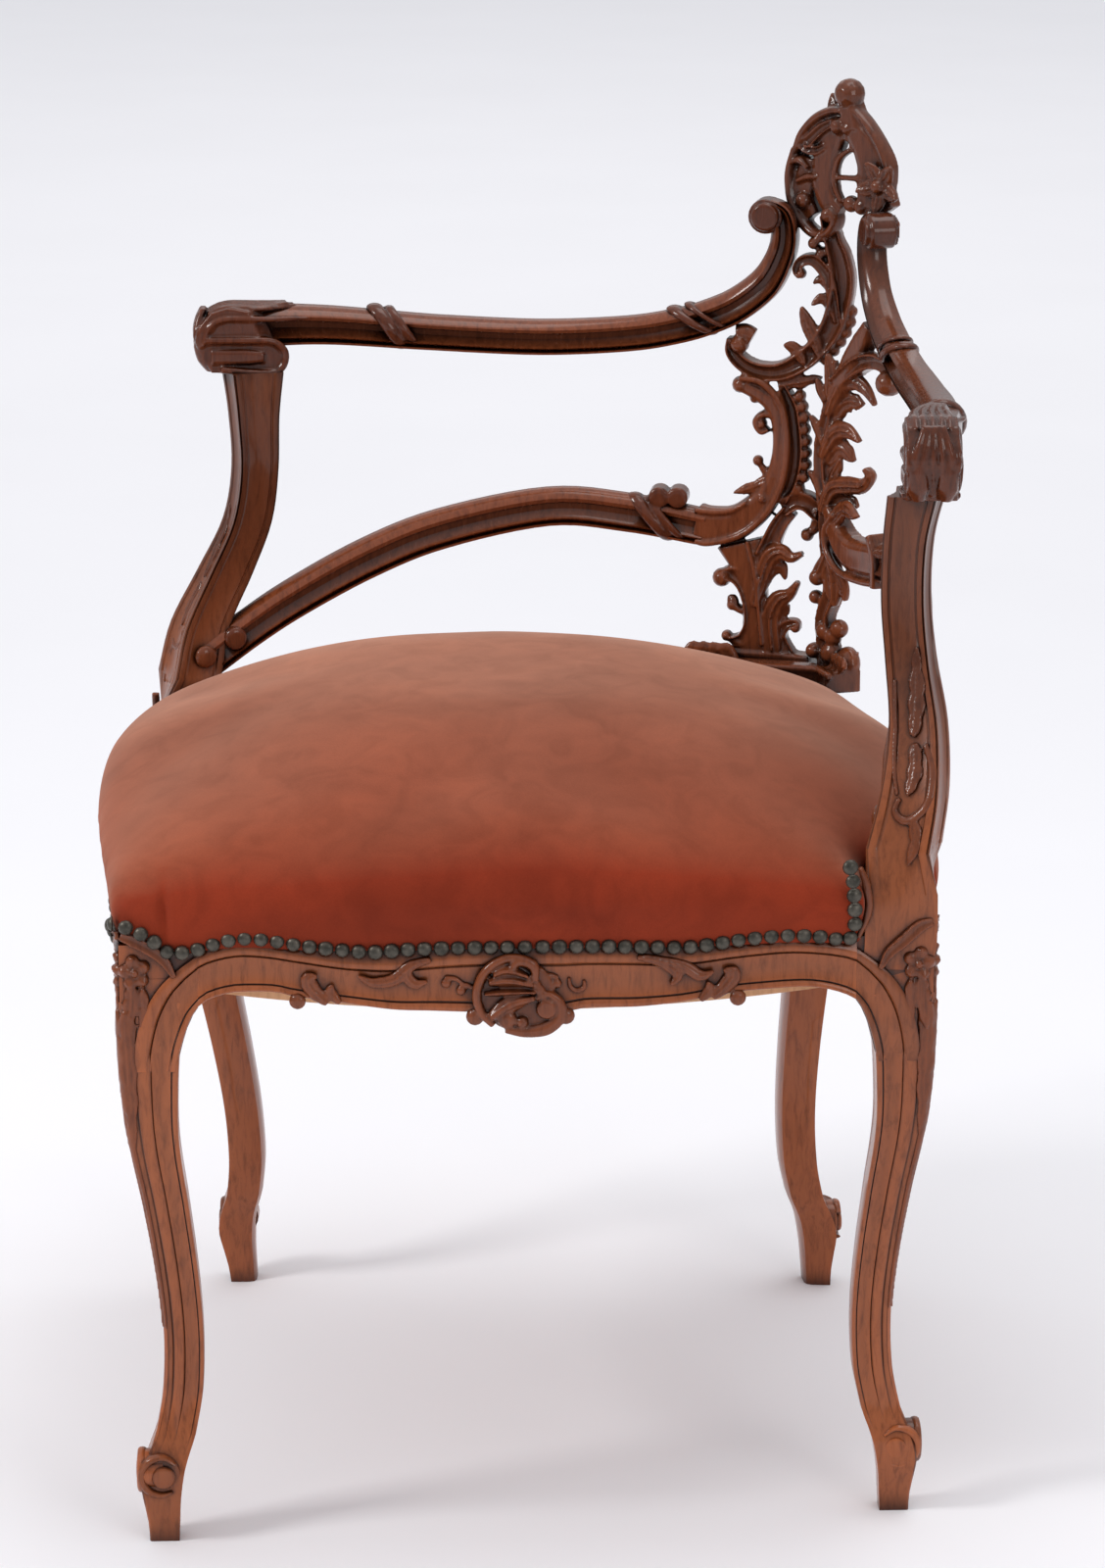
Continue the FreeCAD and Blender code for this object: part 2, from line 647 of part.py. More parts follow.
def make_arm(side, crest):
    """Arm from the front scroll block to the rear volute."""
    loft = swept_rail(side, ARM_STATIONS)
    out = side_normal(side, SCROLL_AT)
    along = forward(side, SCROLL_AT)
    mid = side_point(side, SCROLL_AT, SCROLL_OUT - SCROLL_THICK / 2.0)
    h = SCROLL_LONG / 2.0
    points = [mid - along * h + UP * SCROLL_LOW, mid + along * h + UP * SCROLL_LOW,
              mid + along * h + UP * SCROLL_HIGH, mid - along * h + UP * SCROLL_HIGH]
    block = Part.Face(rounded_wire(points, [SCROLL_R] * 4)).extrude(out * SCROLL_THICK)
    volute_out = side_normal(side, VOLUTE_S)
    start = side_point(side, VOLUTE_S, -VOLUTE_THICK / 2.0, VOLUTE_Z)
    volute = Part.makeCylinder(VOLUTE_R, VOLUTE_THICK, start, volute_out)
    eye_start = start - volute_out * VOLUTE_EYE_OUT
    eye = Part.makeCylinder(VOLUTE_EYE_R, VOLUTE_THICK, eye_start, volute_out)
    arm = loft.multiFuse([block, volute, eye]).removeSplitter()
    return arm.cut(post_tenon(side)).cut(crest)


def make_lower(side):
    """Arched lower rail with its leaf wrap and two round bosses."""
    pieces = []
    out = side_normal(side, LOWER_BOSS_S)
    for along in (LOWER_BOSS_S, LOWER_BOSS_S - LOWER_BOSS_GAP):
        thick = LOWER_STATIONS[-1][4]
        start = side_point(side, along, -thick / 2.0, LOWER_BOSS_Z)
        pieces.append(Part.makeCylinder(LOWER_BOSS_R, thick, start, out))
    z = LOWER_STATIONS[-2][2] - LOWER_BOSS_R / 2.0
    thick = LOWER_STATIONS[-2][4] + BEAD_OUT
    start = side_point(side, LOWER_BOSS_S, -thick / 2.0, z)
    pieces.append(Part.makeCylinder(LOWER_WRAP_R, thick, start, out))
    return swept_rail(side, LOWER_STATIONS).multiFuse(pieces).removeSplitter()


def panel_point(side, s, z, out=0.0):
    turn = math.radians(PANEL_TURN)
    x = s * math.cos(turn) + out * math.sin(turn)
    y = CORNER_Y - s * math.sin(turn) + out * math.cos(turn)
    return Vector(side * x, y, z)


def panel_out(side):
    return panel_point(side, 0.0, 0.0, 1.0) - panel_point(side, 0.0, 0.0)


def spline(points):
    curve = Part.BSplineCurve()
    curve.interpolate(points)
    return curve.toShape()


def band(side, first, second):
    """Flat carved band between two curves drawn on a splat panel."""
    back = -PANEL_THICK / 2.0
    p = [panel_point(side, s, z, back) for s, z in first]
    q = [panel_point(side, s, z, back) for s, z in second]
    wire = Part.Wire([spline(p), Part.makeLine(p[-1], q[-1]), spline(q), Part.makeLine(q[0], p[0])])
    return Part.Face(wire).extrude(panel_out(side) * PANEL_THICK)


def leaf(side, low, tip, high, belly):
    """Pointed leaf from two root points to a tip, swelling by belly."""
    back = -PANEL_THICK / 2.0
    a, t, b = [panel_point(side, s, z, back) for s, z in (low, tip, high)]
    swell = UP * belly
    under = Part.Arc(a, (a + t) * 0.5 - swell, t).toShape()
    over = Part.Arc(t, (b + t) * 0.5 + swell, b).toShape()
    wire = Part.Wire([under, over, Part.makeLine(b, a)])
    return Part.Face(wire).extrude(panel_out(side) * PANEL_THICK)


def disc(side, s, z, radius, proud=0.0):
    start = panel_point(side, s, z, -PANEL_THICK / 2.0 - proud)
    return Part.makeCylinder(radius, PANEL_THICK + proud, start, panel_out(side))


def make_spine():
    """Upright stem in the back corner that joins the two panels."""
    h = SPINE_HALF
    stem = Part.makeBox(2.0 * h, PANEL_THICK, SPINE_TOP - SHOE_HIGH,
                        Vector(-h, CORNER_Y - SPINE_IN - PANEL_THICK / 2.0, SHOE_HIGH))
    upright = [e for e in stem.Edges if abs(e.tangentAt(e.FirstParameter).z) > 0.9]
    return stem.makeFillet(h / 2.0, upright)


def carved_panel(side, bands, leaves, discs):
    pieces = [band(side, first, second) for first, second in bands]
    pieces += [leaf(side, low, tip, high, belly) for low, tip, high, belly in leaves]
    pieces += [disc(side, s, z, radius) for s, z, radius in discs]
    pieces.append(disc(side, PEG_S, PEG_Z, PEG_R, PEG_OUT))
    return pieces


def make_left_splat(others):
    bands = [STEM, BEADED_SCROLL, PLAIN_BAND, FOOT_PLATE, BRIDGE, CURLED_LEAF]
    pieces = carved_panel(LEFT, bands, LEFT_LEAVES, LEFT_DISCS)
    panel = pieces[0].multiFuse(pieces[1:])
    for other in others:
        panel = panel.cut(other)
    return panel.removeSplitter()


def make_right_splat(others):
    bands = [PLUME, ARCH_BAND, RIGHT_BAND, RIGHT_FOOT]
    pieces = carved_panel(RIGHT, bands, RIGHT_LEAVES, RIGHT_DISCS)
    panel = make_spine().multiFuse(pieces)
    for other in others:
        panel = panel.cut(other)
    return panel.removeSplitter()


def make_shoe():
    """Plinth under the two panels, mitred at the corner."""
    bars = []
    h = SHOE_DEEP / 2.0
    inner = -SHOE_IN - h
    outer = -SHOE_IN + h
    for side, long in ((LEFT, SHOE_LEFT_LONG), (RIGHT, SHOE_RIGHT_LONG)):
        mitre = [-o * math.tan(math.radians(PANEL_TURN)) for o in (inner, outer)]
        plan = ((mitre[0], inner), (long, inner), (long, outer), (mitre[1], outer))
        points = [panel_point(side, s, SHOE_LOW, o) for s, o in plan]
        bars.append(prism(points, UP * (SHOE_HIGH - SHOE_LOW)))
    return bars[0].fuse(bars[1]).removeSplitter()


def make_crest():
    """Pierced teardrop cartouche with its ball finial."""
    front = CORNER_Y - CREST_THICK + CREST_BACK

    def p(x, z):
        return Vector(x, front, z)

    right = [p(CREST_HALF * share, z) for share, z in CREST_OUTLINE]
    left = [Vector(-v.x, v.y, v.z) for v in right]
    outline = Part.Wire([spline(right), spline(left[::-1])])
    body = Part.Face(outline).extrude(Vector(0, CREST_THICK, 0))
    ellipse = Part.Ellipse(p(CREST_EYE_X, CREST_EYE_Z + CREST_EYE_TALL),
                           p(CREST_EYE_X + CREST_EYE_HALF, CREST_EYE_Z), p(CREST_EYE_X, CREST_EYE_Z))
    eye = Part.Face(Part.Wire([ellipse.toShape()])).extrude(Vector(0, CREST_THICK, 0))
    ball = Part.makeSphere(FINIAL_R, Vector(0, front + CREST_THICK / 2.0, FINIAL_Z))
    return body.cut(eye).fuse(ball).removeSplitter()


def cushion_body(shrink, low, low_grow):
    """Crowned cushion with drawn-in sides, shrunk by a layer."""
    wires = [seat_wire(low_grow, low)]
    for z, grow, cut, bow in CUSHION_STATIONS:
        wires.append(seat_wire(grow - shrink, z - shrink, cut, bow))
    return Part.makeLoft(wires, True)


def post_room(side, i):
    """Room that the upholstery leaves around an arm post."""
    return Part.makeLoft(post_wires(side, i, POST_CLEAR), True)


def corner_room(i):
    """Room at an arm corner, which the post fills down to the rail."""
    a = side_dir(i)
    c = side_dir((i - 1) % 4) * -1.0
    near = POST_BASE_WIDE + POST_CLEAR
    inner = corner(i) + (a + c) * near + UP * RAIL_TOP
    far = near + ROOM_REACH
    points = [inner, inner - a * far, inner - (a + c) * far, inner - c * far]
    return prism(points, UP * (CUSHION_STATIONS[-1][0] - RAIL_TOP))


def stub_room():
    h = STUB_WIDE / 2.0 + POST_CLEAR
    y = corner(BACK).y - STUB_IN
    high = CUSHION_STATIONS[-1][0] - RAIL_TOP
    return Part.makeBox(2.0 * h, 2.0 * h, high, Vector(-h, y - h, RAIL_TOP - BEAD_HEIGHT))


def lower_room(side):
    """Room under the front end of a lower rail."""
    g = 2.0 * POST_CLEAR
    front_end = LOWER_STATIONS[:LOWER_IN_SEAT]
    grown = [(s, away, z, high + g, thick + g) for s, away, z, high, thick in front_end]
    return swept_rail(side, grown)


def shoe_room():
    """Room above and behind the shoe, where the stuffing is held down."""
    inner = -SHOE_IN - SHOE_DEEP / 2.0 - POST_CLEAR
    low = SHOE_LOW - SOFT_GAP
    far = SHOE_BEHIND
    bars = []
    for side, long in ((LEFT, SHOE_LEFT_LONG), (RIGHT, SHOE_RIGHT_LONG)):
        end = long + POST_CLEAR
        points = [panel_point(side, s, low, o) for s, o in
                  ((-far, inner), (end, inner), (end, far), (-far, far))]
        bars.append(prism(points, UP * (CREST_LOW - low)))
    return bars[0].fuse(bars[1])


def make_soft(rooms):
    """Webbing both ways, canvas, hair pad and velvet cover."""
    made = {}
    strip_low = RAIL_TOP
    inset = -WEB_INSET
    for name, i, low in (("webbing_lengthwise", FRONT, strip_low),
                         ("webbing_crosswise", RIGHT_SIDE, strip_low + WEB_THICK)):
        field = Part.Face(seat_wire(inset, low)).extrude(UP * WEB_THICK)
        for room in rooms:
            field = field.cut(room)
        a = side_dir(i)
        inward = side_out(i) * -1.0
        span = WEB_STEP * (WEB_COUNT - 1)
        mid = Vector(0, 0, low) + (corner(FRONT) + corner(BACK)) * 0.5
        strips = []
        for k in range(WEB_COUNT):
            line = mid + inward * (k * WEB_STEP - span / 2.0)
            reach = side_length(i)
            w = inward * (WEB_WIDE / 2.0)
            run = a * reach
            points = [line - run - w, line + run - w, line + run + w, line - run + w]
            strips.append(prism(points, UP * WEB_THICK).common(field))
        made[name] = Part.makeCompound([s for strip in strips for s in strip.Solids])
    canvas_low = strip_low + 2.0 * WEB_THICK
    canvas = Part.Face(seat_wire(inset, canvas_low)).extrude(UP * CANVAS_THICK)
    pad_low = canvas_low + CANVAS_THICK + SOFT_GAP
    pad = cushion_body(COVER_THICK + PAD_GAP, pad_low, -COVER_THICK - PAD_GAP)
    outer = cushion_body(0.0, RAIL_TOP + SOFT_GAP, COVER_THICK)
    inner = cushion_body(COVER_THICK, RAIL_TOP + SOFT_GAP, 0.0)
    cover = outer.cut(inner)
    for name, shape in (("seat_canvas", canvas), ("hair_pad", pad), ("velvet_cover", cover)):
        for room in rooms:
            shape = shape.cut(room)
        made[name] = max(shape.Solids, key=lambda s: s.Volume)
    return made


def face_out(i, along):
    """Outward direction of the bowed rail face at a distance along its side."""
    length = side_length(i)
    if bow_at(i, along) == 0.0:
        return side_out(i)
    rise = bow_radius(i) - RAIL_BOW + bow_at(i, along)
    return unit(side_dir(i) * (along - length / 2.0) + side_out(i) * rise)


def make_nails(i):
    """Row of domed nails along one side."""
    length = side_length(i)
    first = NAIL_START if i in (FRONT, BACK) else BLOCK_WIDTH
    last = NAIL_START if i in (LEFT_SIDE, RIGHT_SIDE) else BLOCK_WIDTH
    count = int((length - first - last) / NAIL_STEP)
    step = (length - first - last) / count
    heads = []
    for k in range(count + 1):
        along = first + k * step
        base = at_side(i, along, bow_at(i, along) + SOFT_GAP, RAIL_TOP - NAIL_DROP)
        heads.append(Part.makeCone(NAIL_R, NAIL_R * NAIL_CROWN, NAIL_HIGH, base, face_out(i, along)))
    return Part.makeCompound(heads)


def corner_block_points(i):
    a = side_dir(i)
    c = side_dir((i - 1) % 4) * -1.0
    tip = corner(i) + UP * (LINER_HIGH + BEAD_OUT)
    near_a = tip + a * BLOCK_WIDTH - side_out(i) * RAIL_THICK
    near_c = tip + c * BLOCK_WIDTH - side_out((i - 1) % 4) * RAIL_THICK
    return near_a, near_a + a * CORNER_REACH, near_c + c * CORNER_REACH, near_c


def make_corner_screws(i):
    near_a, far_a, far_c, near_c = corner_block_points(i)
    mid = (far_a + far_c) * 0.5 + UP * CORNER_THICK / 2.0
    across = unit(far_c - far_a)
    outward = unit((near_a + near_c) * 0.5 - (far_a + far_c) * 0.5)
    screws = []
    for shift in (-SCREW_GAP / 2.0, SCREW_GAP / 2.0):
        start = mid + across * shift - outward * SCREW_HEAD
        head = Part.makeCone(SCREW_HEAD_FLAT_R, SCREW_HEAD_R, SCREW_HEAD, start, outward)
        shank = Part.makeCylinder(SCREW_R, SCREW_LONG + SCREW_HEAD, start, outward)
        screws.append(head.fuse(shank).removeSplitter())
    return screws


def upright_dowel(point):
    return Part.makeCylinder(DOWEL_R, DOWEL_LONG, point - UP * (DOWEL_LONG / 2.0), UP)


def build():
    shapes = {}
    crest = make_crest()
    legs = {"front_leg": make_leg(FRONT), "right_leg": make_leg(RIGHT_SIDE, RIGHT),
            "back_leg": make_leg(BACK), "left_leg": make_leg(LEFT_SIDE, LEFT)}
    arms = {"left_arm": make_arm(LEFT, crest), "right_arm": make_arm(RIGHT, crest)}
    lowers = {"left_lower_rail": make_lower(LEFT), "right_lower_rail": make_lower(RIGHT)}
    legs["left_leg"] = legs["left_leg"].cut(lowers["left_lower_rail"])
    legs["right_leg"] = legs["right_leg"].cut(lowers["right_lower_rail"])
    shoe = make_shoe()
    right_splat = make_right_splat([shoe, arms["right_arm"], lowers["right_lower_rail"], crest])
    left_splat = make_left_splat([shoe, right_splat, arms["left_arm"], lowers["left_lower_rail"], crest])

    blocks = []
    screws = []
    for i, name in enumerate(("front_leg", "right_leg", "back_leg", "left_leg")):
        block = prism(list(corner_block_points(i)), UP * CORNER_THICK)
        for screw in make_corner_screws(i):
            block = block.cut(screw)
            legs[name] = legs[name].cut(screw)
            screws.append(screw)
        blocks.append(block)

    crest_y = CORNER_Y - CREST_THICK / 2.0 + CREST_BACK
    crest_dowels = []
    for side, name in ((LEFT, "left_arm"), (RIGHT, "right_arm")):
        x = side_point(side, VOLUTE_S - VOLUTE_R / 2.0).x
        start = Vector(x, crest_y - CREST_PEG_BACK, VOLUTE_Z)
        dowel = Part.makeCylinder(DOWEL_R, DOWEL_LONG, start, Vector(0, 1, 0))
        arms[name] = arms[name].cut(dowel)
        crest = crest.cut(dowel)
        crest_dowels.append(dowel)

    splat_dowels = []
    for s in LEFT_PEG_S:
        dowel = upright_dowel(panel_point(LEFT, s, SHOE_HIGH))
        left_splat = left_splat.cut(dowel)
        shoe = shoe.cut(dowel)
        splat_dowels.append(dowel)
    for s in RIGHT_PEG_S:
        dowel = upright_dowel(panel_point(RIGHT, s, SHOE_HIGH))
        right_splat = right_splat.cut(dowel)
        shoe = shoe.cut(dowel)
        splat_dowels.append(dowel)

    shoe_dowels = []
    for side in (LEFT, RIGHT):
        dowel = upright_dowel(Vector(side * SPINE_HALF, CORNER_Y - SHOE_PEG_IN, SHOE_LOW))
        legs["back_leg"] = legs["back_leg"].cut(dowel)
        shoe = shoe.cut(dowel)
        shoe_dowels.append(dowel)

    rooms = [post_room(LEFT, LEFT_SIDE), post_room(RIGHT, RIGHT_SIDE), corner_room(LEFT_SIDE),
             corner_room(RIGHT_SIDE), lower_room(LEFT), lower_room(RIGHT), stub_room(), shoe_room()]
    shapes.update(legs)
    sides = ("front_right", "back_right", "back_left", "front_left")
    for i, name in enumerate(sides):
        shapes[name + "_rail"] = make_rail(i)
        shapes[name + "_liner"] = make_liner(i)
        shapes[name + "_nails"] = make_nails(i)
    shapes.update(arms)
    shapes.update(lowers)
    shapes["left_splat"] = left_splat
    shapes["right_splat"] = right_splat
    shapes["splat_shoe"] = shoe
    shapes["crest"] = crest
    shapes["corner_blocks"] = Part.makeCompound(blocks)
    shapes["corner_block_screws"] = Part.makeCompound(screws)
    shapes["crest_dowels"] = Part.makeCompound(crest_dowels)
    shapes["splat_dowels"] = Part.makeCompound(splat_dowels)
    shapes["shoe_dowels"] = Part.makeCompound(shoe_dowels)
    shapes.update(make_soft(rooms))
    return shapes


os.makedirs("parts", exist_ok=True)
for node, shape in build().items():
    shape.exportStep("parts/" + node + ".step")
    print(node, len(shape.Solids), shape.isValid())
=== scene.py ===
import bpy
import math
import random
from mathutils import Matrix, Vector, noise


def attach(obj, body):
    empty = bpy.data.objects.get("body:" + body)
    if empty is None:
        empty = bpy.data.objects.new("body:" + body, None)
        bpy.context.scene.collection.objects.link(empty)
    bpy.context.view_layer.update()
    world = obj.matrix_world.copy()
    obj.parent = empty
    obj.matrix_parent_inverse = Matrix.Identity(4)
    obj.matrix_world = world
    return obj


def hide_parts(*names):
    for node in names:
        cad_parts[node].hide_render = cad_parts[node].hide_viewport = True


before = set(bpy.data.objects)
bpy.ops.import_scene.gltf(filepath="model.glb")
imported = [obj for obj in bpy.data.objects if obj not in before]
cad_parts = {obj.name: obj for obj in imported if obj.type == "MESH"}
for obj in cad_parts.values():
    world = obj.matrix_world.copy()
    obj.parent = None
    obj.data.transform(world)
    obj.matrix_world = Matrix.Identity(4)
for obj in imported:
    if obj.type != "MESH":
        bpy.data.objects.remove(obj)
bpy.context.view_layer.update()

random.seed(7)
mm = 0.001
scene = bpy.context.scene
print("frame loaded")


# small helpers, everything below is drawn in millimetres
def lerp(value, t):  # one number, or a list spread evenly from 0 to 1
    if isinstance(value, (int, float)):
        return value
    n = len(value) - 1
    k = min(int(t * n), n - 1)
    f = t * n - k
    return value[k] * (1 - f) + value[k + 1] * f


def clamp(value):
    return min(1, max(0, value))


def spline(p0, p1, p2, p3, t):  # round curve from p1 to p2
    return 0.5 * (2 * p1 + (p2 - p0) * t + (2 * p0 - 5 * p1 + 4 * p2 - p3) * t * t
                  + (3 * p1 - p0 - 3 * p2 + p3) * t ** 3)


def smooth(points, steps):
    pts = [Vector(p) for p in points]
    if len(pts) < 3:
        a, b = pts
        return [a.lerp(b, k / steps) for k in range(steps + 1)]
    out = []
    for i in range(len(pts) - 1):
        p1, p2 = pts[i], pts[i + 1]
        p0 = pts[i - 1] if i > 0 else p1 * 2 - p2
        p3 = pts[i + 2] if i + 2 < len(pts) else p2 * 2 - p1
        out += [spline(p0, p1, p2, p3, k / steps) for k in range(steps)]
    return out + [pts[-1]]


def blank():  # empty mesh, called c where it is drawn into
    return {"v": [], "f": []}


def loft(c, rings, caps=True):
    base = len(c["v"])
    n = len(rings[0])
    for ring in rings:
        c["v"].extend(ring)
    for i in range(len(rings) - 1):
        for k in range(n):
            a = base + i * n + k
            b = base + i * n + (k + 1) % n
            c["f"].append((a, b, b + n, a + n))
    if caps:
        c["f"].append(tuple(base + k for k in range(n))[::-1])
        c["f"].append(tuple(base + (len(rings) - 1) * n + k for k in range(n)))


# sections of the carved bands, across and out, in shares of the half width and the depth
roundSec = [(math.cos(2 * math.pi * k / 12), math.sin(2 * math.pi * k / 12)) for k in range(12)]
slabSec = [(-1, -1), (-1, .2), (-.86, .75), (-.55, 1), (.55, 1), (.86, .75), (1, .2), (1, -1)]
ribSec = [(-1, -1), (-1, .35), (-.9, .85), (-.74, .95), (-.6, .7), (-.4, .4), (0, .3), (.4, .4), (.6, .7),
          (.74, .95), (.9, .85), (1, .35), (1, -1)]  # two beads and a hollow
leafSec = [(-1, .1), (-.6, .75), (-.2, .55), (0, 1.05), (.2, .55), (.6, .75), (1, .1), (.5, -.8), (-.5, -.8)]
armSec = [(1, .35), (1, -.5), (.75, -.95), (.2, -1), (-.45, -1), (-.85, -.8), (-1, -.25), (-.95, .35),
          (-.72, .8), (-.5, .95), (-.3, .8), (-.2, .5), (.1, .42), (.4, .62), (.55, .92), (.68, .7),
          (.74, .55), (.82, .85), (.95, .75)]  # roll, cove, ridge and a bead below
edgeSec = [(-1, -1), (-1, .45), (-.82, .8), (-.5, .6), (0, .4), (.45, .5), (.62, .75), (.76, 1.1),
           (.93, 1.0), (1, .4), (1, -1)]  # hollow with one bead


def stations(points, steps):  # share, point and sideways direction along a curve
    path = smooth(points, steps)
    last = len(path) - 1
    for i, p in enumerate(path):
        d = path[min(i + 1, last)] - path[max(i - 1, 0)]
        size = math.hypot(d.x, d.y) or 1.0
        yield i / last, p, -d.y / size, d.x / size


def band(c, place, points, wide, deep, section, o=0.0):
    rings = []
    for t, p, nx, ny in stations(points, 6):
        w, h, off = lerp(wide, t), lerp(deep, t), lerp(o, t)
        rings.append([place(p.x + nx * w * a, p.y + ny * w * a, off + h * b) for a, b in section])
    loft(c, rings)


def ball(c, place, x, y, r, deep, o):
    rings = []
    for k in range(1, 8):
        a = math.pi * k / 8
        rings.append([place(x + r * math.sin(a) * p, y + r * math.sin(a) * q, o - deep * math.cos(a))
                      for p, q in roundSec])
    loft(c, rings)


def balls(c, place, spots, r, deep, o):
    for x, z in spots:
        ball(c, place, x, z, r, deep, o)


def leaf(c, place, points, wide, thick, o, curl, lobes):  # grows from its root to a thin tip
    rings = []
    for t, p, nx, ny in stations(points, 8):
        w = wide * (math.sin(math.pi * min(.97, .12 + .85 * t)) ** .7)
        if lobes:
            w *= .78 + .3 * abs(math.sin(math.pi * lobes * t))
        off = o + curl * t * t
        th = thick * (1 - .45 * t)
        rings.append([place(p.x + nx * w * a, p.y + ny * w * a, off + th * b) for a, b in leafSec])
    loft(c, rings)


def prismOn(c, place, outline, o1, o2):
    loft(c, [[place(u, z, o) for u, z in outline] for o in (o1, o2)])


def disc(c, place, x, z, r, o1, o2, soft=1.2):  # turned button with a softened edge
    rows = [(r, o1), (r, o2 - soft), (r - .4 * soft, o2 - .3 * soft), (r - 1.3 * soft, o2)]
    angles = [math.pi * k / 12 for k in range(24)]
    loft(c, [[place(x + q * math.cos(a), z + q * math.sin(a), o) for a in angles] for q, o in rows])


def make(name, c):
    mesh = bpy.data.meshes.new(name)
    mesh.from_pydata([v * mm for v in c["v"]], [], c["f"])
    mesh.update()
    obj = bpy.data.objects.new(name, mesh)
    scene.collection.objects.link(obj)
    return obj


def pick(*chosen):  # the first one becomes active
    for o in bpy.context.selected_objects:
        o.select_set(False)
    for o in chosen:
        o.select_set(True)
    bpy.context.view_layer.objects.active = chosen[0]


def applyModifier(obj, kind, **settings):
    pick(obj)
    mod = obj.modifiers.new(kind.lower(), kind)
    for key, value in settings.items():
        setattr(mod, key, value)
    bpy.ops.object.modifier_apply(modifier=mod.name)


def shadeSmooth(obj):
    for p in obj.data.polygons:
        p.use_smooth = True


def weld(obj, voxel, rounds=1, strength=.4):  # one carved skin out of many overlapping forms
    applyModifier(obj, "REMESH", mode="VOXEL", voxel_size=voxel * mm)
    applyModifier(obj, "SMOOTH", factor=strength, iterations=rounds)
    shadeSmooth(obj)
    return obj


def crisp(obj, angle=28):  # keeps the edges of the mouldings sharp
    shadeSmooth(obj)
    obj.data.set_sharp_from_angle(angle=math.radians(angle))
    return obj


def join(body, extra):
    mark = extra.data.attributes.new("carved", "FLOAT", "POINT")  # marks the carved relief, which the wood colour darkens
    mark.data.foreach_set("value", [1.0] * len(extra.data.vertices))
    pick(body, extra)
    bpy.ops.object.join()
    return body


def dress(obj, nodes, mat):
    obj.data.materials.clear()
    obj.data.materials.append(mat)
    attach(obj, "root")
    for n in nodes:
        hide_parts(n)


# materials
def startMaterial(name):
    m = bpy.data.materials.new(name)
    m.use_nodes = True
    t = m.node_tree
    return m, t, t.nodes["Principled BSDF"]


def addNode(t, kind, sockets=None, **settings):
    n = t.nodes.new(kind)
    for k, v in settings.items():
        setattr(n, k, v)
    for k, v in (sockets or {}).items():
        n.inputs[k].default_value = v
    return n


def objectSpace(t):
    return addNode(t, "ShaderNodeTexCoord").outputs["Object"]


def clouds(t, source, scale, detail=2, rough=.5, twist=0):
    n = addNode(t, "ShaderNodeTexNoise",
                {"Scale": scale, "Detail": detail, "Roughness": rough, "Distortion": twist})
    t.links.new(source, n.inputs["Vector"])
    return n.outputs["Fac"]


def stretch(t, source, sockets):
    n = addNode(t, "ShaderNodeMapRange", sockets)
    t.links.new(source, n.inputs["Value"])
    return n.outputs["Result"]


def ramp(t, source, stops):
    r = t.nodes.new("ShaderNodeValToRGB")
    e = r.color_ramp.elements
    while len(e) < len(stops):
        e.new(.5)
    for k, (pos, col) in enumerate(stops):
        e[k].position = pos
        e[k].color = (*col, 1)
    t.links.new(source, r.inputs["Fac"])
    return r.outputs["Color"]


def tint(t, base, share, source, stops):  # multiplies the colour by a ramp over the source
    n = addNode(t, "ShaderNodeMix", data_type="RGBA", blend_type="MULTIPLY")
    n.inputs["Factor"].default_value = share
    t.links.new(base, n.inputs["A"])
    t.links.new(ramp(t, source, stops), n.inputs["B"])
    return n.outputs["Result"]


def roughen(t, bsdf, source, strength, distance):
    n = addNode(t, "ShaderNodeBump", {"Strength": strength, "Distance": distance})
    t.links.new(source, n.inputs["Height"])
    t.links.new(n.outputs["Normal"], bsdf.inputs["Normal"])


white = (1, 1, 1)
woods = {"walnut_frame": {"light": (.28, .079, .026), "dark": (.155, .04, .012), "recessShade": (.07, .04, .03),
                          "high": .5, "span": (.43, .6), "shine": .3},
         "walnut_carving": {"light": (.175, .046, .016), "dark": (.085, .021, .007),
                            "recessShade": (.05, .03, .022), "high": .62, "span": (.66, .86), "shine": .22},
         "beech": {"light": (.56, .33, .19), "dark": (.44, .24, .12), "recessShade": (.6, .5, .42),
                   "high": 1.0, "span": (.43, .6), "shine": .55}}


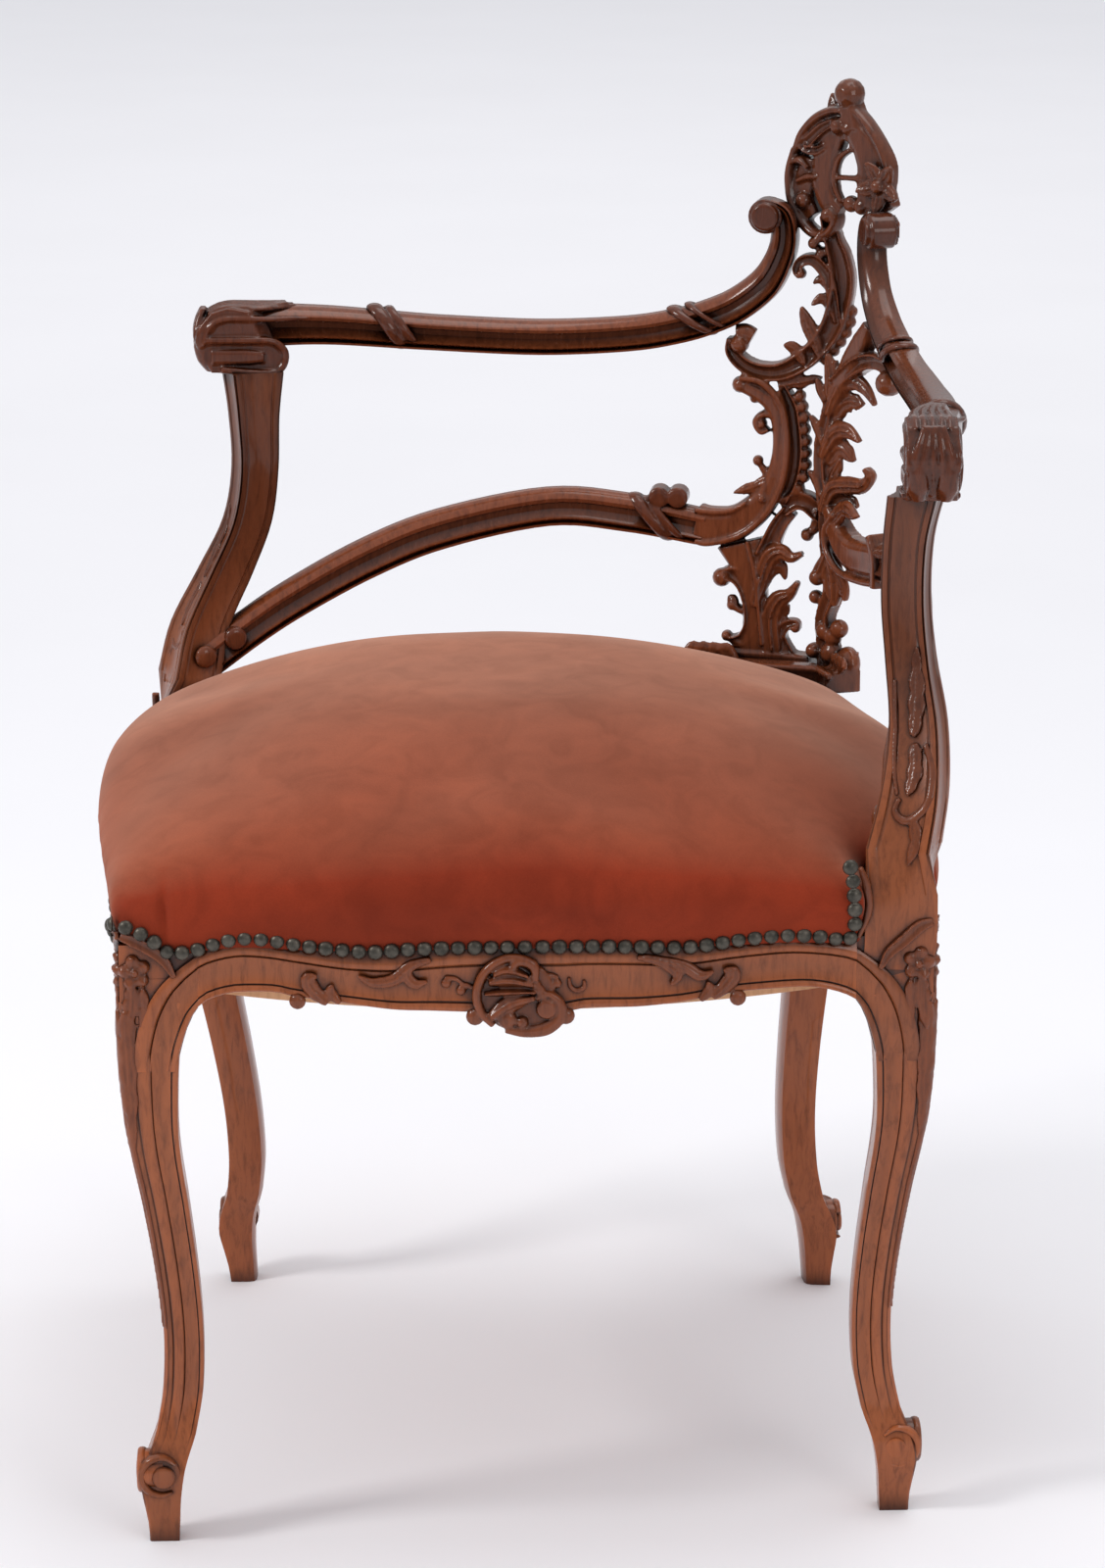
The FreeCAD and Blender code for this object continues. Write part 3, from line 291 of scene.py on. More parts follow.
def polishedWood(name):
    w = woods[name]
    m, t, bsdf = startMaterial(name)
    coord = objectSpace(t)
    upright = addNode(t, "ShaderNodeMapping", {"Scale": (9, 9, 1.6)})  # grain runs up the legs
    t.links.new(coord, upright.inputs["Vector"])
    grain = clouds(t, upright.outputs["Vector"], 26, 9, .66, .5)
    base = ramp(t, grain, [(.28, w["dark"]), (.52, w["light"]), (.75, [v * 1.12 for v in w["light"]])])
    base = tint(t, base, .8, clouds(t, coord, 5), [(.3, (.8, .76, .73)), (.65, (1.04, 1.03, 1))])
    geo = addNode(t, "ShaderNodeNewGeometry")
    part = addNode(t, "ShaderNodeSeparateXYZ")
    t.links.new(geo.outputs["Position"], part.inputs["Vector"])
    climb = stretch(t, part.outputs["Z"], {"From Min": w["span"][0], "From Max": w["span"][1]})
    upperTint = (w["high"], w["high"] * .96, w["high"] * .95)  # darker toward the arms
    base = tint(t, base, 1.0, climb, [(0, white), (1, upperTint)])
    carved = addNode(t, "ShaderNodeAttribute", attribute_name="carved")
    # the carved relief is darker
    base = tint(t, base, 1.0, carved.outputs["Fac"], [(0, white), (1, (.66, .6, .57))])
    # painted shade: ambient occlusion darkens the colour in recesses
    ao = addNode(t, "ShaderNodeAmbientOcclusion", {"Distance": .018}, samples=8)
    base = tint(t, base, .95, ao.outputs["AO"], [(.42, w["recessShade"]), (.94, white)])
    # painted shade in hollows and painted highlight on ridges, from the curvature
    base = tint(t, base, .8, geo.outputs["Pointiness"],
                [(.4, (.34, .28, .25)), (.49, white), (.6, (1.5, 1.4, 1.25))])
    t.links.new(base, bsdf.inputs["Base Color"])
    rough = stretch(t, grain, {"To Min": w["shine"] - .08, "To Max": w["shine"] + .14})
    t.links.new(rough, bsdf.inputs["Roughness"])
    roughen(t, bsdf, grain, .08, .0005)
    bsdf.inputs["Specular IOR Level"].default_value = .2
    bsdf.inputs["Coat Weight"].default_value = .4
    bsdf.inputs["Coat Roughness"].default_value = .1
    return m


pile = {"shadedToward": (.66, -.68, -.32),  # faces turned toward the front right rail get the deepest painted shade
        "facingShade": [(.06, (.44, .225, .158)), (.2, (.325, .13, .081)), (.3, (.262, .085, .048)),
                (.5, (.24, .055, .026)), (.8, (.235, .029, .01))],
        "blotch": [(.32, (.8, .77, .75)), (.5, (1.02, 1.02, 1.02)), (.68, (1.2, 1.17, 1.13))],
        "stroke": [(.34, (.86, .84, .82)), (.52, (1.02, 1.02, 1.02)), (.7, (1.14, 1.12, 1.1))],
        "hair": [(.3, (.9, .9, .9)), (.7, (1.08, 1.08, 1.08))]}


def wornAndShadedVelvet():
    m, t, bsdf = startMaterial("velvet")
    coord = objectSpace(t)
    fine = clouds(t, coord, 900)
    geo = addNode(t, "ShaderNodeNewGeometry")
    # painted light and shade: faces turned up and back are painted pale, faces turned toward the front right
    # deep
    facing = addNode(t, "ShaderNodeVectorMath", {1: pile["shadedToward"]}, operation="DOT_PRODUCT")
    t.links.new(geo.outputs["Normal"], facing.inputs[0])
    shadeShare = stretch(t, facing.outputs["Value"], {"From Min": -.7, "From Max": .95})
    base = ramp(t, shadeShare, pile["facingShade"])
    base = tint(t, base, .8, clouds(t, coord, 8, 5, twist=.6), pile["blotch"])
    base = tint(t, base, .6, clouds(t, coord, 30, 6, twist=1.4), pile["stroke"])  # left by hands
    base = tint(t, base, .5, fine, pile["hair"])
    t.links.new(base, bsdf.inputs["Base Color"])
    bsdf.inputs["Roughness"].default_value = .9
    bsdf.inputs["Sheen Weight"].default_value = .25
    bsdf.inputs["Sheen Roughness"].default_value = .38
    bsdf.inputs["Sheen Tint"].default_value = (.95, .62, .48, 1)
    bsdf.inputs["Specular IOR Level"].default_value = .15
    roughen(t, bsdf, fine, .12, .0008)
    return m


def metal(name, low, high, rough):
    m, t, bsdf = startMaterial(name)
    tone = clouds(t, objectSpace(t), 160, 4)
    t.links.new(ramp(t, tone, [(.35, low), (.65, high)]), bsdf.inputs["Base Color"])
    bsdf.inputs["Metallic"].default_value = .75
    bsdf.inputs["Roughness"].default_value = rough
    return m


def woven(name, a, b, size):
    m, t, bsdf = startMaterial(name)
    check = addNode(t, "ShaderNodeTexWave", {"Scale": size, "Distortion": 1.5})
    t.links.new(objectSpace(t), check.inputs["Vector"])
    t.links.new(ramp(t, check.outputs["Fac"], [(.3, a), (.7, b)]), bsdf.inputs["Base Color"])
    bsdf.inputs["Roughness"].default_value = .9
    return m


walnutFrame, walnutDark, beech = [polishedWood(name) for name in woods]
velvet = wornAndShadedVelvet()
bronze = metal("nail_bronze", (.045, .042, .034), (.11, .098, .08), .4)
steel = metal("screw_steel", (.3, .3, .3), (.45, .44, .43), .35)
jute = woven("jute_webbing", (.28, .2, .11), (.42, .32, .2), 220)
linen = woven("canvas", (.4, .33, .23), (.52, .45, .34), 700)
print("materials made")


# plan of the seat and the surfaces that the carving is drawn on
seat = {"front": (0, -370), "right": (380, 20), "back": (0, 362), "left": (-380, 20), "ear": 54, "bow": 8}
back = {"corner": 366, "radius": 720, "start": 26, "panel": 30, "stem": 353, "armTurn": 13,
        "bridgeTurn": 22, "crest": 359}
corners = [Vector(seat[k]) for k in ("front", "right", "back", "left")]
sides = [("front_right", False), ("back_right", True), ("back_left", False), ("front_left", True)]
hands = [(-1, "left"), (1, "right")]


def sideDir(i):
    return (corners[(i + 1) % 4] - corners[i]).normalized()


def sideOut(i):
    d = sideDir(i)
    return Vector((d.y, -d.x))


def sideLong(i):
    return (corners[(i + 1) % 4] - corners[i]).length


def runsFrom(i):  # along the two rails that meet in a corner
    return sideDir(i), -sideDir((i - 1) % 4)


def bowAt(i, u):
    k = (u - seat["ear"]) / (sideLong(i) - 2 * seat["ear"])
    return seat["bow"] * 4 * k * (1 - k) if 0 < k < 1 else 0.0


def facePlace(i, mirror):  # outer face of a seat rail
    def place(u, z, o):
        along = sideLong(i) - u if mirror else u
        p = corners[i] + sideDir(i) * along + sideOut(i) * (o + bowAt(i, along))
        return Vector((p.x, p.y, z))
    return place


def arcPlace(side):  # inner face of an arm, o runs toward the seat
    r, turn = back["radius"], math.radians(back["start"])

    def place(s, z, o):
        here = turn + s / r
        x = r * (math.sin(here) - math.sin(turn)) - o * math.sin(here)
        y = back["corner"] - r * (math.cos(turn) - math.cos(here)) - o * math.cos(here)
        return Vector((side * x, y, z))
    return place


def wingPlace(side, turn=back["panel"], y=back["corner"]):  # flat panel that runs from the back corner
    t = math.radians(turn)

    def place(s, z, o):
        return Vector((side * (s * math.cos(t) - o * math.sin(t)), y - s * math.sin(t) - o * math.cos(t), z))
    return place


# legs with their posts
legs = {"button": 8, "carve": 1.0, "sunk": {-1: 3.2, 1: 1.0}, "plainTo": 62, "fade": 45,
        "block": (383, 427.5), "blockDeep": 27, "kneeDeep": 7.0, "settle": (366, 24),
        "arris": 1.2, "groove": .8, "roll": .6,
        "feet": [(0, -335), (326, 47), (0, 346), (-326, 47)],
        "shape": [(0, 0, 20), (14, 0, 21.5), (28, 1, 24.5), (42, 1, 28), (56, -3, 28), (75, -13, 27),
                  (105, -21, 27), (145, -23, 27), (190, -19, 28), (240, -11, 30), (290, -2, 33),
                  (330, 0, 37), (360, -1, 40), (388, -2.5, 42)]}  # height, sweep toward the toe, width
legCurve = [Vector(p) for p in legs["shape"]]
kneeOuter = [(10, 340), (12, 357), (16, 374), (22, 388), (31, 401), (42, 411), (50, 417), (54.5, 420)]
kneeInner = [(39, 340), (41, 350), (43, 358), (46, 368), (49, 376), (51, 380), (53, 383), (54.5, 385)]
kneeBack = [(38, 336), (41, 348), (44, 360), (47, 370), (51, 379), (54.4, 384), (54.4, 404), (20, 404),
            (20, 336)]


def legAt(i, z):  # outer corner and width of a leg at a height
    k = 0
    while k < len(legCurve) - 2 and legCurve[k + 1].x < z:
        k += 1
    pts = [legCurve[min(max(j, 0), len(legCurve) - 1)] for j in (k - 1, k, k + 1, k + 2)]
    q = spline(*pts, (z - pts[1].x) / (pts[2].x - pts[1].x))
    shift, wide = q.y, q.z
    a, b = runsFrom(i)
    top = legCurve[-1]
    share = z / top.x
    head = corners[i] + (a + b) * (top.z / 2)
    mid = Vector(legs["feet"][i]) * (1 - share) + head * share - (a + b).normalized() * shift
    return mid - (a + b) * (wide / 2), wide


def mould(b):  # roll, hollow field, groove and edge bead
    return [(0, -.3), (.05, .5), (b * .5, 1.0), (b * .86, .5), (b * .97, -.4), (b + .012, -1.3),
            (b + .035, -.5), (b + .12, -.9), (.5 * (b + .84), -1.4), (.76, -1.0), (.82, -.5), (.832, -1.7),
            (.85, -1.6), (.862, -.1), (.9, .7), (.95, .9), (.985, .4), (1, -.5)]


def ribbon(c, place, outer, inner, share):
    a = smooth(outer, 4)
    b = smooth(inner, 4)
    rear = -legs["kneeDeep"]
    rings = []
    for i, (p, q) in enumerate(zip(a, b)):
        t = i / (len(a) - 1)
        ring = [place(p.x + (q.x - p.x) * f, p.y + (q.y - p.y) * f, d) for f, d in mould(lerp(share, t))]
        ring += [place(q.x, q.y, rear), place(p.x, p.y, rear)]
        rings.append(ring)
    loft(c, rings)


def legFace(i, k):  # d runs in from the arris, k picks the face
    run, deep = runsFrom(i) if k == 0 else runsFrom(i)[::-1]

    def place(d, z, o):
        tip, wide = legAt(i, z)
        p = tip + run * d - deep * o
        return Vector((p.x, p.y, z))
    return place


def legProfile():
    arris = [(0, -1.6), (.05, -.9), (.12, -.7), (.2, -.9), (.235, -1.7), (.255, -1.5)]
    return arris + [(.26 + .74 * f, d) for f, d in mould(.34)]


def legRing(i, z):
    tip, wide = legAt(i, z)
    a, b = runsFrom(i)
    fade = clamp((z - legs["plainTo"]) / legs["fade"])  # the toe stays plain

    def face(run, deep, profile):
        rows = []
        for t, d in profile:
            inset = max(0, -d * fade * legs["groove"]) + (legs["arris"] if t == 0 else 0)
            rows.append(tip + run * (wide * t) + deep * (inset - max(0, d) * fade * legs["roll"]))
        return rows
    inner = [tip + (a * p + b * q) * wide for p, q in ((1, .3), (.98, .7), (.9, .9), (.7, .98), (.3, 1))]
    ring = face(a, b, legProfile()) + inner + face(b, a, legProfile()[::-1])
    return [Vector((p.x, p.y, z)) for p in ring]


# arm posts
post = {"arris": 2.0, "face": .8, "groove": 1.5}
postShape = [(484, 496, 9, 37, 44), (520, 486, 13, 35, 40), (560, 467, 10, 34, 34), (600, 452, 1, 31, 30),
             (640, 447, -4, 30, 29.5), (680, 447, -3, 33, 30),
             (712, 446, 2, 40, 34)]  # height, place along the arm, outward, long, thick
postBase = [(402, 46, 4), (422, 48, 1.2), (440, 48, 1), (456, 47.5, 1.2)]  # height, width, inset
postSteps = [(0, 0), (.05, .35), (.1, .5), (.16, .2), (.18, -.5), (.2, -.6), (.23, -.3), (.34, -1.0),
             (.5, -1.3), (.66, -1.0), (.77, -.3), (.8, -.6), (.82, -.5), (.84, .2), (.9, .5), (.95, .35)]


def postRing(side, z, s, away, long, thick):
    place = arcPlace(side)
    ring = []
    for k in range(4):
        for t, d in postSteps:
            start = post["arris"] if t == 0 else 0  # the arrises are taken off
            inset = start or post["face"] - post["groove"] * d
            x, y = [(-long / 2 + long * t + start, -thick / 2 + inset),
                    (long / 2 - inset, -thick / 2 + thick * t + start),
                    (long / 2 - long * t - start, thick / 2 - inset),
                    (-long / 2 + inset, thick / 2 - thick * t - start)][k]
            ring.append(place(s + x, z, -away - y))
    return ring


def squareRing(i, z, wide, step):
    behind, ahead = runsFrom(i) if i == 1 else runsFrom(i)[::-1]  # the two posts are mirrored
    tip = corners[i] + (ahead + behind) * step
    order = [(1, 1), (1, 0), (0, 0), (0, 1)]  # inner, front, tip, back
    ring = []
    for p, q in zip(order, order[1:] + order[:1]):
        for t, _ in postSteps:
            f = ahead * (p[0] + (q[0] - p[0]) * t) + behind * (p[1] + (q[1] - p[1]) * t)
            pt = tip + f * wide
            ring.append(Vector((pt.x, pt.y, z)))
    return ring


def kneeCarving(c, place, lift):  # lip, flower and hanging husks
    band(c, place, [(4, 434 + lift), (13, 431 + lift), (24, 425), (33, 417), (39, 406)],
         [2.8, 4.2, 4.4, 3.6, 1.6], [2, 3.4, 3.4, 3.4], edgeSec, [-1.4, -.4, -.4, -.4])
    for k in range(5):
        a = .5 + 2 * math.pi * k / 5
        x, z = 13 + 6.6 * math.cos(a), 409 + 7.8 * math.sin(a)
        ball(c, place, x, z, 4.8, 3.4, -2)
        ball(c, place, x + 1.4 * math.cos(a), z + 1.6 * math.sin(a), 2, 1.4, .8)
    ball(c, place, 13, 409, 2.8, 2.6, .6)
    leaf(c, place, [(11, 400), (10, 386), (7, 364)], 5.8, 3.6, -2, .6, 3)
    leaf(c, place, [(18, 398), (19, 386), (16, 370)], 3.8, 3.2, -1.6, .4, 2)


def legDrop(c, place):  # husk falling from the knee down the arris
    leaf(c, place, [(4, 382), (5, 355), (5, 322), (3, 285)], 6, 3.2, 0, 0, 5)
    leaf(c, place, [(9, 378), (9, 362), (7, 344)], 3, 2.2, -.2, .4, 2)
    band(c, place, [(2, 300), (2.5, 250), (2, 200), (2, 150)], [2, 1.6, 1.4, 1], 1.6, roundSec, -.6)


def toeScrolls(c, i):  # scrolled toe and its buttons
    runs = runsFrom(i)
    foot = Vector(legs["feet"][i]) - (runs[0] + runs[1]).normalized() * 3
    for run, other in (runs, runs[::-1]):
        n = Vector((run.y, -run.x))
        if n.dot(other) > 0:
            n = -n

        def toe(x, z, o, run=run, n=n):
            p = foot + n * (12 + o) - run * x
            return Vector((p.x, p.y, z))
        disc(c, toe, 1, 50, 14.5, -14, .4)
        band(c, toe, [(-10, 58), (-2, 63), (8, 60), (13, 51), (10, 41), (1, 36), (-8, 38)],
             [1.2, 2.2, 3, 3, 3, 2.4, 1.4], 3.2, roundSec, .6)
        disc(c, toe, -2, 49, legs["button"], 0, 4.8, 2)


def kneeBlock(c, i):  # square head that takes the tenons
    tip, far, deep = corners[i], seat["ear"], legs["blockDeep"]
    a, b = runsFrom(i)
    outA, outB = sideOut(i), sideOut((i - 1) % 4)
    outline = [tip + (a + b) * 2.6, tip + a * far - outA * 4, tip + a * far - outA * deep,
               tip + b * far - outB * deep, tip + b * far - outB * 4]
    loft(c, [[Vector((p.x, p.y, z)) for p in outline] for z in legs["block"]])


def kneeFace(c, i, k, place):  # moulded knee that settles into the leg below
    out = sideOut(i) if k == 0 else sideOut((i - 1) % 4)
    sink = (place(20, 340, 0) - legFace(i, k)(20, 340, 0)).xy.dot(out)
    level, over = legs["settle"]

    def knee(u, z, o):
        return place(u, z, o - sink * clamp((level - z) / over))
    prismOn(c, knee, kneeBack, -25, -3)
    ribbon(c, knee, kneeOuter, kneeInner, [.36, .34, .3, .24, .22])


def armPost(c, i, side):
    line = smooth([p[:3] for p in postShape], 5)
    size = smooth([p[3:] for p in postShape], 5)
    rings = [squareRing(i, *row) for row in postBase]
    rings += [postRing(side, p.x, p.y, p.z, q.x, q.y) for p, q in zip(line, size)]
    loft(c, rings)


def postLook(z, col):  # one column of the post at a height
    k = 0
    while k < len(postShape) - 2 and postShape[k + 1][0] < z:
        k += 1
    p, q = postShape[k], postShape[k + 1]
    t = (z - p[0]) / (q[0] - p[0])
    return p[col] + (q[col] - p[col]) * t


def postPanel(c, side):  # leaf and scroll panel down the front of the post
    place = arcPlace(side)

    def front(x, z, o):
        s = postLook(z, 1) + postLook(z, 3) / 2 - legs["sunk"][side] + o
        return place(s, z, -postLook(z, 2) - x)
    band(c, front, [(9, 552), (15, 536), (13, 514), (2, 504), (-7, 509), (-6, 518)],
         [2, 3.4, 3.4, 3, 2.4, 2], 2.6, roundSec, -.6)
    band(c, front, [(-9, 590), (-12, 560), (-11, 535), (-8, 520)], [1.5, 2, 2, 1.5], 2, roundSec, -.6)
    leaf(c, front, [(0, 556), (5, 582), (8, 612)], 6.5, 3, -.6, 1, 4)
    leaf(c, front, [(2, 552), (3, 534), (-1, 520)], 6, 3, -.6, 1, 3)
    leaf(c, front, [(6, 506), (11, 492), (9, 476)], 5, 3, -.4, 0, 2)


def makeLeg(i, name, side):
    c = blank()
    loft(c, [legRing(i, z) for z in [0, 6, 14, *range(22, 380, 6), 388]])
    kneeBlock(c, i)
    faces = (facePlace(i, False), facePlace((i - 1) % 4, True))
    for k, place in enumerate(faces):
        kneeFace(c, i, k, place)
    toeScrolls(c, i)
    if side:
        armPost(c, i, side)
    body = crisp(make("carved_" + name, c))
    c = blank()
    for k, place in enumerate(faces):
        kneeCarving(c, place, 4 if side else 0)
        legDrop(c, legFace(i, k))
        if side:  # bead that frames the foot of the post
            band(c, place, [(53, 476), (49, 464), (47.5, 446), (54, 428)], [1.6, 3, 3.2, 2], 3, roundSec, .2)
    if side:
        ball(c, arcPlace(side), 490, 500, 9, 4, 11)  # button at the foot of the hollow
        postPanel(c, side)
    obj = join(body, weld(make("carved_" + name + "_relief", c), legs["carve"]))
    dress(obj, [name], walnutFrame)


legNames = [("front_leg", 0), ("right_leg", 1), ("back_leg", 0), ("left_leg", -1)]  # 0 has no arm post
postCorners = [i for i, (name, side) in enumerate(legNames) if side]
for index, (name, side) in enumerate(legNames):
    makeLeg(index, name, side)
print("legs carved")


# seat rails: roll, hollow and bead with sprigs, hooks and the shell
rails = {"long": 544.5, "carve": .95, "middle": 264, "steps": 72, "deep": 24, "top": 427}
railTop = [(40, 412), (54, 420), (67, 425), (86, 428), (118, 424), (150, 419), (182, 418), (208, 421),
           (234, 423), (270, 423), (311, 423), (344, 422), (370, 420), (389, 421), (415, 424), (441, 426),
           (460, 425), (477, 423), (490, 420), (505, 412)]
railLow = [(40, 372), (54, 385), (62, 391), (75, 395), (86, 396), (105, 396), (118, 393), (147, 389),
           (182, 384), (208, 383), (233, 382), (264, 381), (295, 381), (311, 384), (344, 384), (376, 387),
           (402, 392), (428, 394), (455, 395), (470, 393), (480, 390), (490, 385), (505, 372)]


def heightAt(curve, u):
    for p, q in zip(curve, curve[1:]):
        if p.x <= u <= q.x:
            return p.y + (q.y - p.y) * (u - p.x) / max(q.x - p.x, 1e-6)
    return curve[-1].y


def shell(c, place, x):
    def at(points):
        return [(u - rails["middle"] + x, z) for u, z in points]
    disc(c, place, x + 1, 394, 25, -9, 2.6, 1.6)
    band(c, place, at([(276, 406), (274, 417), (258, 420), (244, 411), (238, 396), (241, 383), (249, 374)]),
         [2, 3, 3.2, 3.2, 3.2, 3, 2.4], 3.4, roundSec, 3.4)
    for spine, w in (([(275, 402), (260, 405), (246, 404)], 4.6),
                     ([(277, 397), (260, 397), (243, 396)], 2.4),
                     ([(276, 393), (261, 389), (247, 380)], 6.2),
                     ([(272, 408), (258, 412), (249, 409)], 3.4)):
        leaf(c, place, at(spine)[::-1], w, 3.4, 4.4, 0, 0)
        band(c, place, at(spine), [w * .3, w * .4, w * .3], 1.6, roundSec, 7)
    band(c, place, at([(260, 412), (266, 418), (275, 415), (277, 405)]), [2.4, 3.8, 4, 2], 3.4, roundSec, 4)
    ball(c, place, x - 3, 413, 3, 3, 4)
    leaf(c, place, at([(271, 407), (278, 400), (283, 391)]), 4.2, 3, 4, .5, 2)
    band(c, place, at([(277, 392), (285, 395), (293, 389), (293, 379), (284, 371), (270, 369), (257, 371)]),
         [1.8, 2.4, 3.2, 4.4, 5, 4.2, 3], 3.6, roundSec, 2.4)
    disc(c, place, x + 20, 385, 6.6, 0, 6.6)
    ball(c, place, x - 6, 378, 6.4, 3.6, 4)
    ball(c, place, x + 4, 376, 4, 3.4, 4.2)
    for p, q in (((218, 402), [(217, 406), (224, 405), (230, 401)]),
                 ((228, 397), [(227, 401), (233, 400), (239, 395)]),
                 ((291, 401), [(292, 405), (285, 407), (278, 402)])):
        ball(c, place, p[0] - rails["middle"] + x, p[1], 3.6, 3, -.6)
        band(c, place, at(q), [1.6, 1.8, 1], 2, roundSec, -.6)
    band(c, place, at([(299, 405), (300, 399), (304, 396), (309, 398), (309, 403)]), [1.2, 1.8, 2, 1.8, 1.2],
         2, roundSec, -.6)
    balls(c, place, at([(237, 379), (297, 379)]), 6.2, 4.4, .4)


def railRelief(c, place, scale):
    def at(points):
        return [(u * scale, z) for u, z in points]
    shell(c, place, rails["middle"] * scale)
    for spine, w in (([(208, 419), (194, 414), (184, 405), (170, 403), (160, 408)], 3.6),
                     ([(200, 418), (192, 410), (197, 402), (206, 404)], 3.4),
                     ([(344, 419), (360, 415), (371, 406), (366, 399)], 3.4),
                     ([(352, 418), (374, 412), (386, 405), (395, 408)], 3.6),
                     ([(140, 389), (131, 397), (127, 405), (133, 408)], 4.6),
                     ([(148, 389), (142, 396), (143, 402)], 3.2),
                     ([(394, 390), (403, 398), (408, 406), (401, 409)], 4.6),
                     ([(386, 388), (392, 395), (391, 401)], 3.2)):
        leaf(c, place, at(spine), w * 1.3, 4, .2, 1.6, 0)
    balls(c, place, at([(120, 390), (411, 389)]), 5.8, 4, .2)


def makeRail(i, name, mirror):
    c = blank()
    place = facePlace(i, mirror)
    scale = sideLong(i) / rails["long"]
    top, low = smooth(railTop, 4), smooth(railLow, 4)
    rings = []
    start = seat["ear"] + .5
    for k in range(rails["steps"] + 1):
        u = start + (rails["long"] - 2 * start) * k / rails["steps"]
        z1, z2 = heightAt(top, u), heightAt(low, u)
        ring = [place(u * scale, z1 + (z2 - z1) * f, d) for f, d in mould(.22)]
        rear = ((z2 + 2, -rails["deep"]), (rails["top"], -rails["deep"]), (rails["top"], -3))
        rings.append(ring + [place(u * scale, z, o) for z, o in rear])
    loft(c, rings)
    body = crisp(make("carved_" + name, c))
    c = blank()
    railRelief(c, place, scale)
    obj = join(body, weld(make(name + "_relief", c), rails["carve"], 1, .35))
    dress(obj, [name], walnutFrame)


for index, (name, mirror) in enumerate(sides):
    makeRail(index, name + "_rail", mirror)
print("rails carved")


# arms
arms = {"carve": 1.0, "edge": 32, "volute": (61, 825),
        "fist": 17, "tall": {-1: 1.0, 1: 1.12}, "flare": 17, "flareFrom": 412, "flareOver": 40,
        "low": 708, "pin": 452, "out": -11, "roof": (757, 458, .016), "nose": (484, 736, .012),
        "path": [(440, 743), (422, 744), (383, 742), (309, 735), (231, 731), (165, 734), (125, 741),
                 (98, 750), (79, 760), (61, 775.5), (51, 794), (47.5, 810), (50, 825), (60, 832)],
        "half": [15, 15, 14, 13, 13, 13, 13, 13, 12.8, 12.4, 11, 10.4, 9.4, 7],
        "thick": [15, 15, 14, 13, 12.5, 11.5, 11, 10.6, 10.4, 10, 10, 10, 10, 10],
        "away": [-11, -10, -8, -4, -1, 0, 0, 0, 0, 0, 0, 0, 0, 0],
        "wraps": [(343, 740, 13.6, 13.4, 10, -6, .08), (116, 745, 12.8, 11, 14, 0, -.36)]}


def wrap(c, place, s, z, half, thick, facing, o, slope):  # two ribs wound round a rail
    for shift, w, up in ((0, 6.2, 3.4), (-11, 3.8, 2.2)):
        loops = []
        for k in range(24):
            a = 2 * math.pi * k / 24
            ss = s + shift + facing * math.cos(a)
            cz, cy = math.cos(a), math.sin(a)
            loops.append([place(ss + w * q, z + slope * (ss - s) + (half + up * r) * cz,
                                o + (thick + up * r) * cy) for q, r in roundSec])
        loft(c, loops + [loops[0]], False)


def armFront(c, arm, off, tall, flare):  # hairpin scroll over the post
    half = arms["fist"]

    def place(s, z, o):  # the fist turns outward over its post
        v = arm(s, arms["low"] + (z - arms["low"]) * tall, o)
        pin = arm(arms["pin"], v.z, off)
        share = clamp((s - arms["flareFrom"]) / arms["flareOver"])
        return pin + Matrix.Rotation(math.radians(flare) * share, 3, "Z") @ (v - pin)
    box = [(438, 757), (461, 760), (474, 756), (483, 746), (486, 735), (481, 723), (474, 712), (428, 708),
           (421, 715), (421, 727), (430, 737)]
    inner = [(s + (9 if s < 450 and z > 730 else 0), z) for s, z in box]
    loft(c, [[place(s, z, off + o) for s, z in line] for line, o in
             ((inner, -half), (box, 7 - half), (box, half - 7), (inner, half))])
    rim = [(478, 736), (450, 736), (432, 735), (424, 729), (422, 722), (425, 714), (433, 711), (467, 714)]
    for sign in (1, -1):
        face = off + sign * half
        band(c, place, rim, 2.6, 2.6, roundSec, face)
        band(c, place, [(474, 723.5), (450, 723.5), (437, 723.5)], [5.4, 5.4, 4], 2.2, slabSec,
             face - sign * .6)
        band(c, place, [(480, 733), (475, 746), (462, 752), (431, 751), (405, 750)],
             [1.6, 2.2, 2.2, 2.2, 1.4], 2.4, roundSec, [face, face, face, face - sign * 2, face - sign * 3])
        band(c, place, [(482, 731), (480, 741), (471, 749)], [3, 5, 3], 3, slabSec, face - sign * 2)

    def top(x, y, o):
        level, start, shadeShare = arms["roof"]
        return place(y, level + o - max(0, y - start) ** 2 * shadeShare, off + x)

    def front(x, z, o):
        far, level, shadeShare = arms["nose"]
        return place(far + o - abs(z - level) ** 2 * shadeShare, z, off + x)
    leaf(c, top, [(0, 478), (0, 456), (0, 430), (0, 404)], 12, 4, 0, -1, 4)
    for q in (-9, 9):
        leaf(c, top, [(q * 1.2, 470), (q, 440), (q * .4, 412)], 5, 3.6, 1.4, -1, 3)
    leaf(c, front, [(0, 756), (0, 736), (0, 715)], 12, 3, -1, -2, 2)
    for q in (-9.5, 9.5):  # two round lobes at the foot of the leaf
        band(c, front, [(q * .8, 742), (q, 730), (q, 720), (q * .9, 712)], [2.5, 6, 7, 4], 4, roundSec,
             [-2, -.5, -.5, -3])
    for q in (-12, -6, 0, 6, 12):  # flutes of the leaf that folds over the fist
        band(c, front, [(q * .5, 758), (q * .8, 748), (q, 738), (q * .9, 724)], [1.6, 2.2, 2.4, .9], 2.6,
             roundSec, [1.2, 1.2, 1, -2])
        band(c, top, [(q * .9, 476), (q, 458), (q * .8, 440), (q * .4, 418)], [1.8, 2.4, 2.2, 1.2], 2.4,
             roundSec, 2.2)


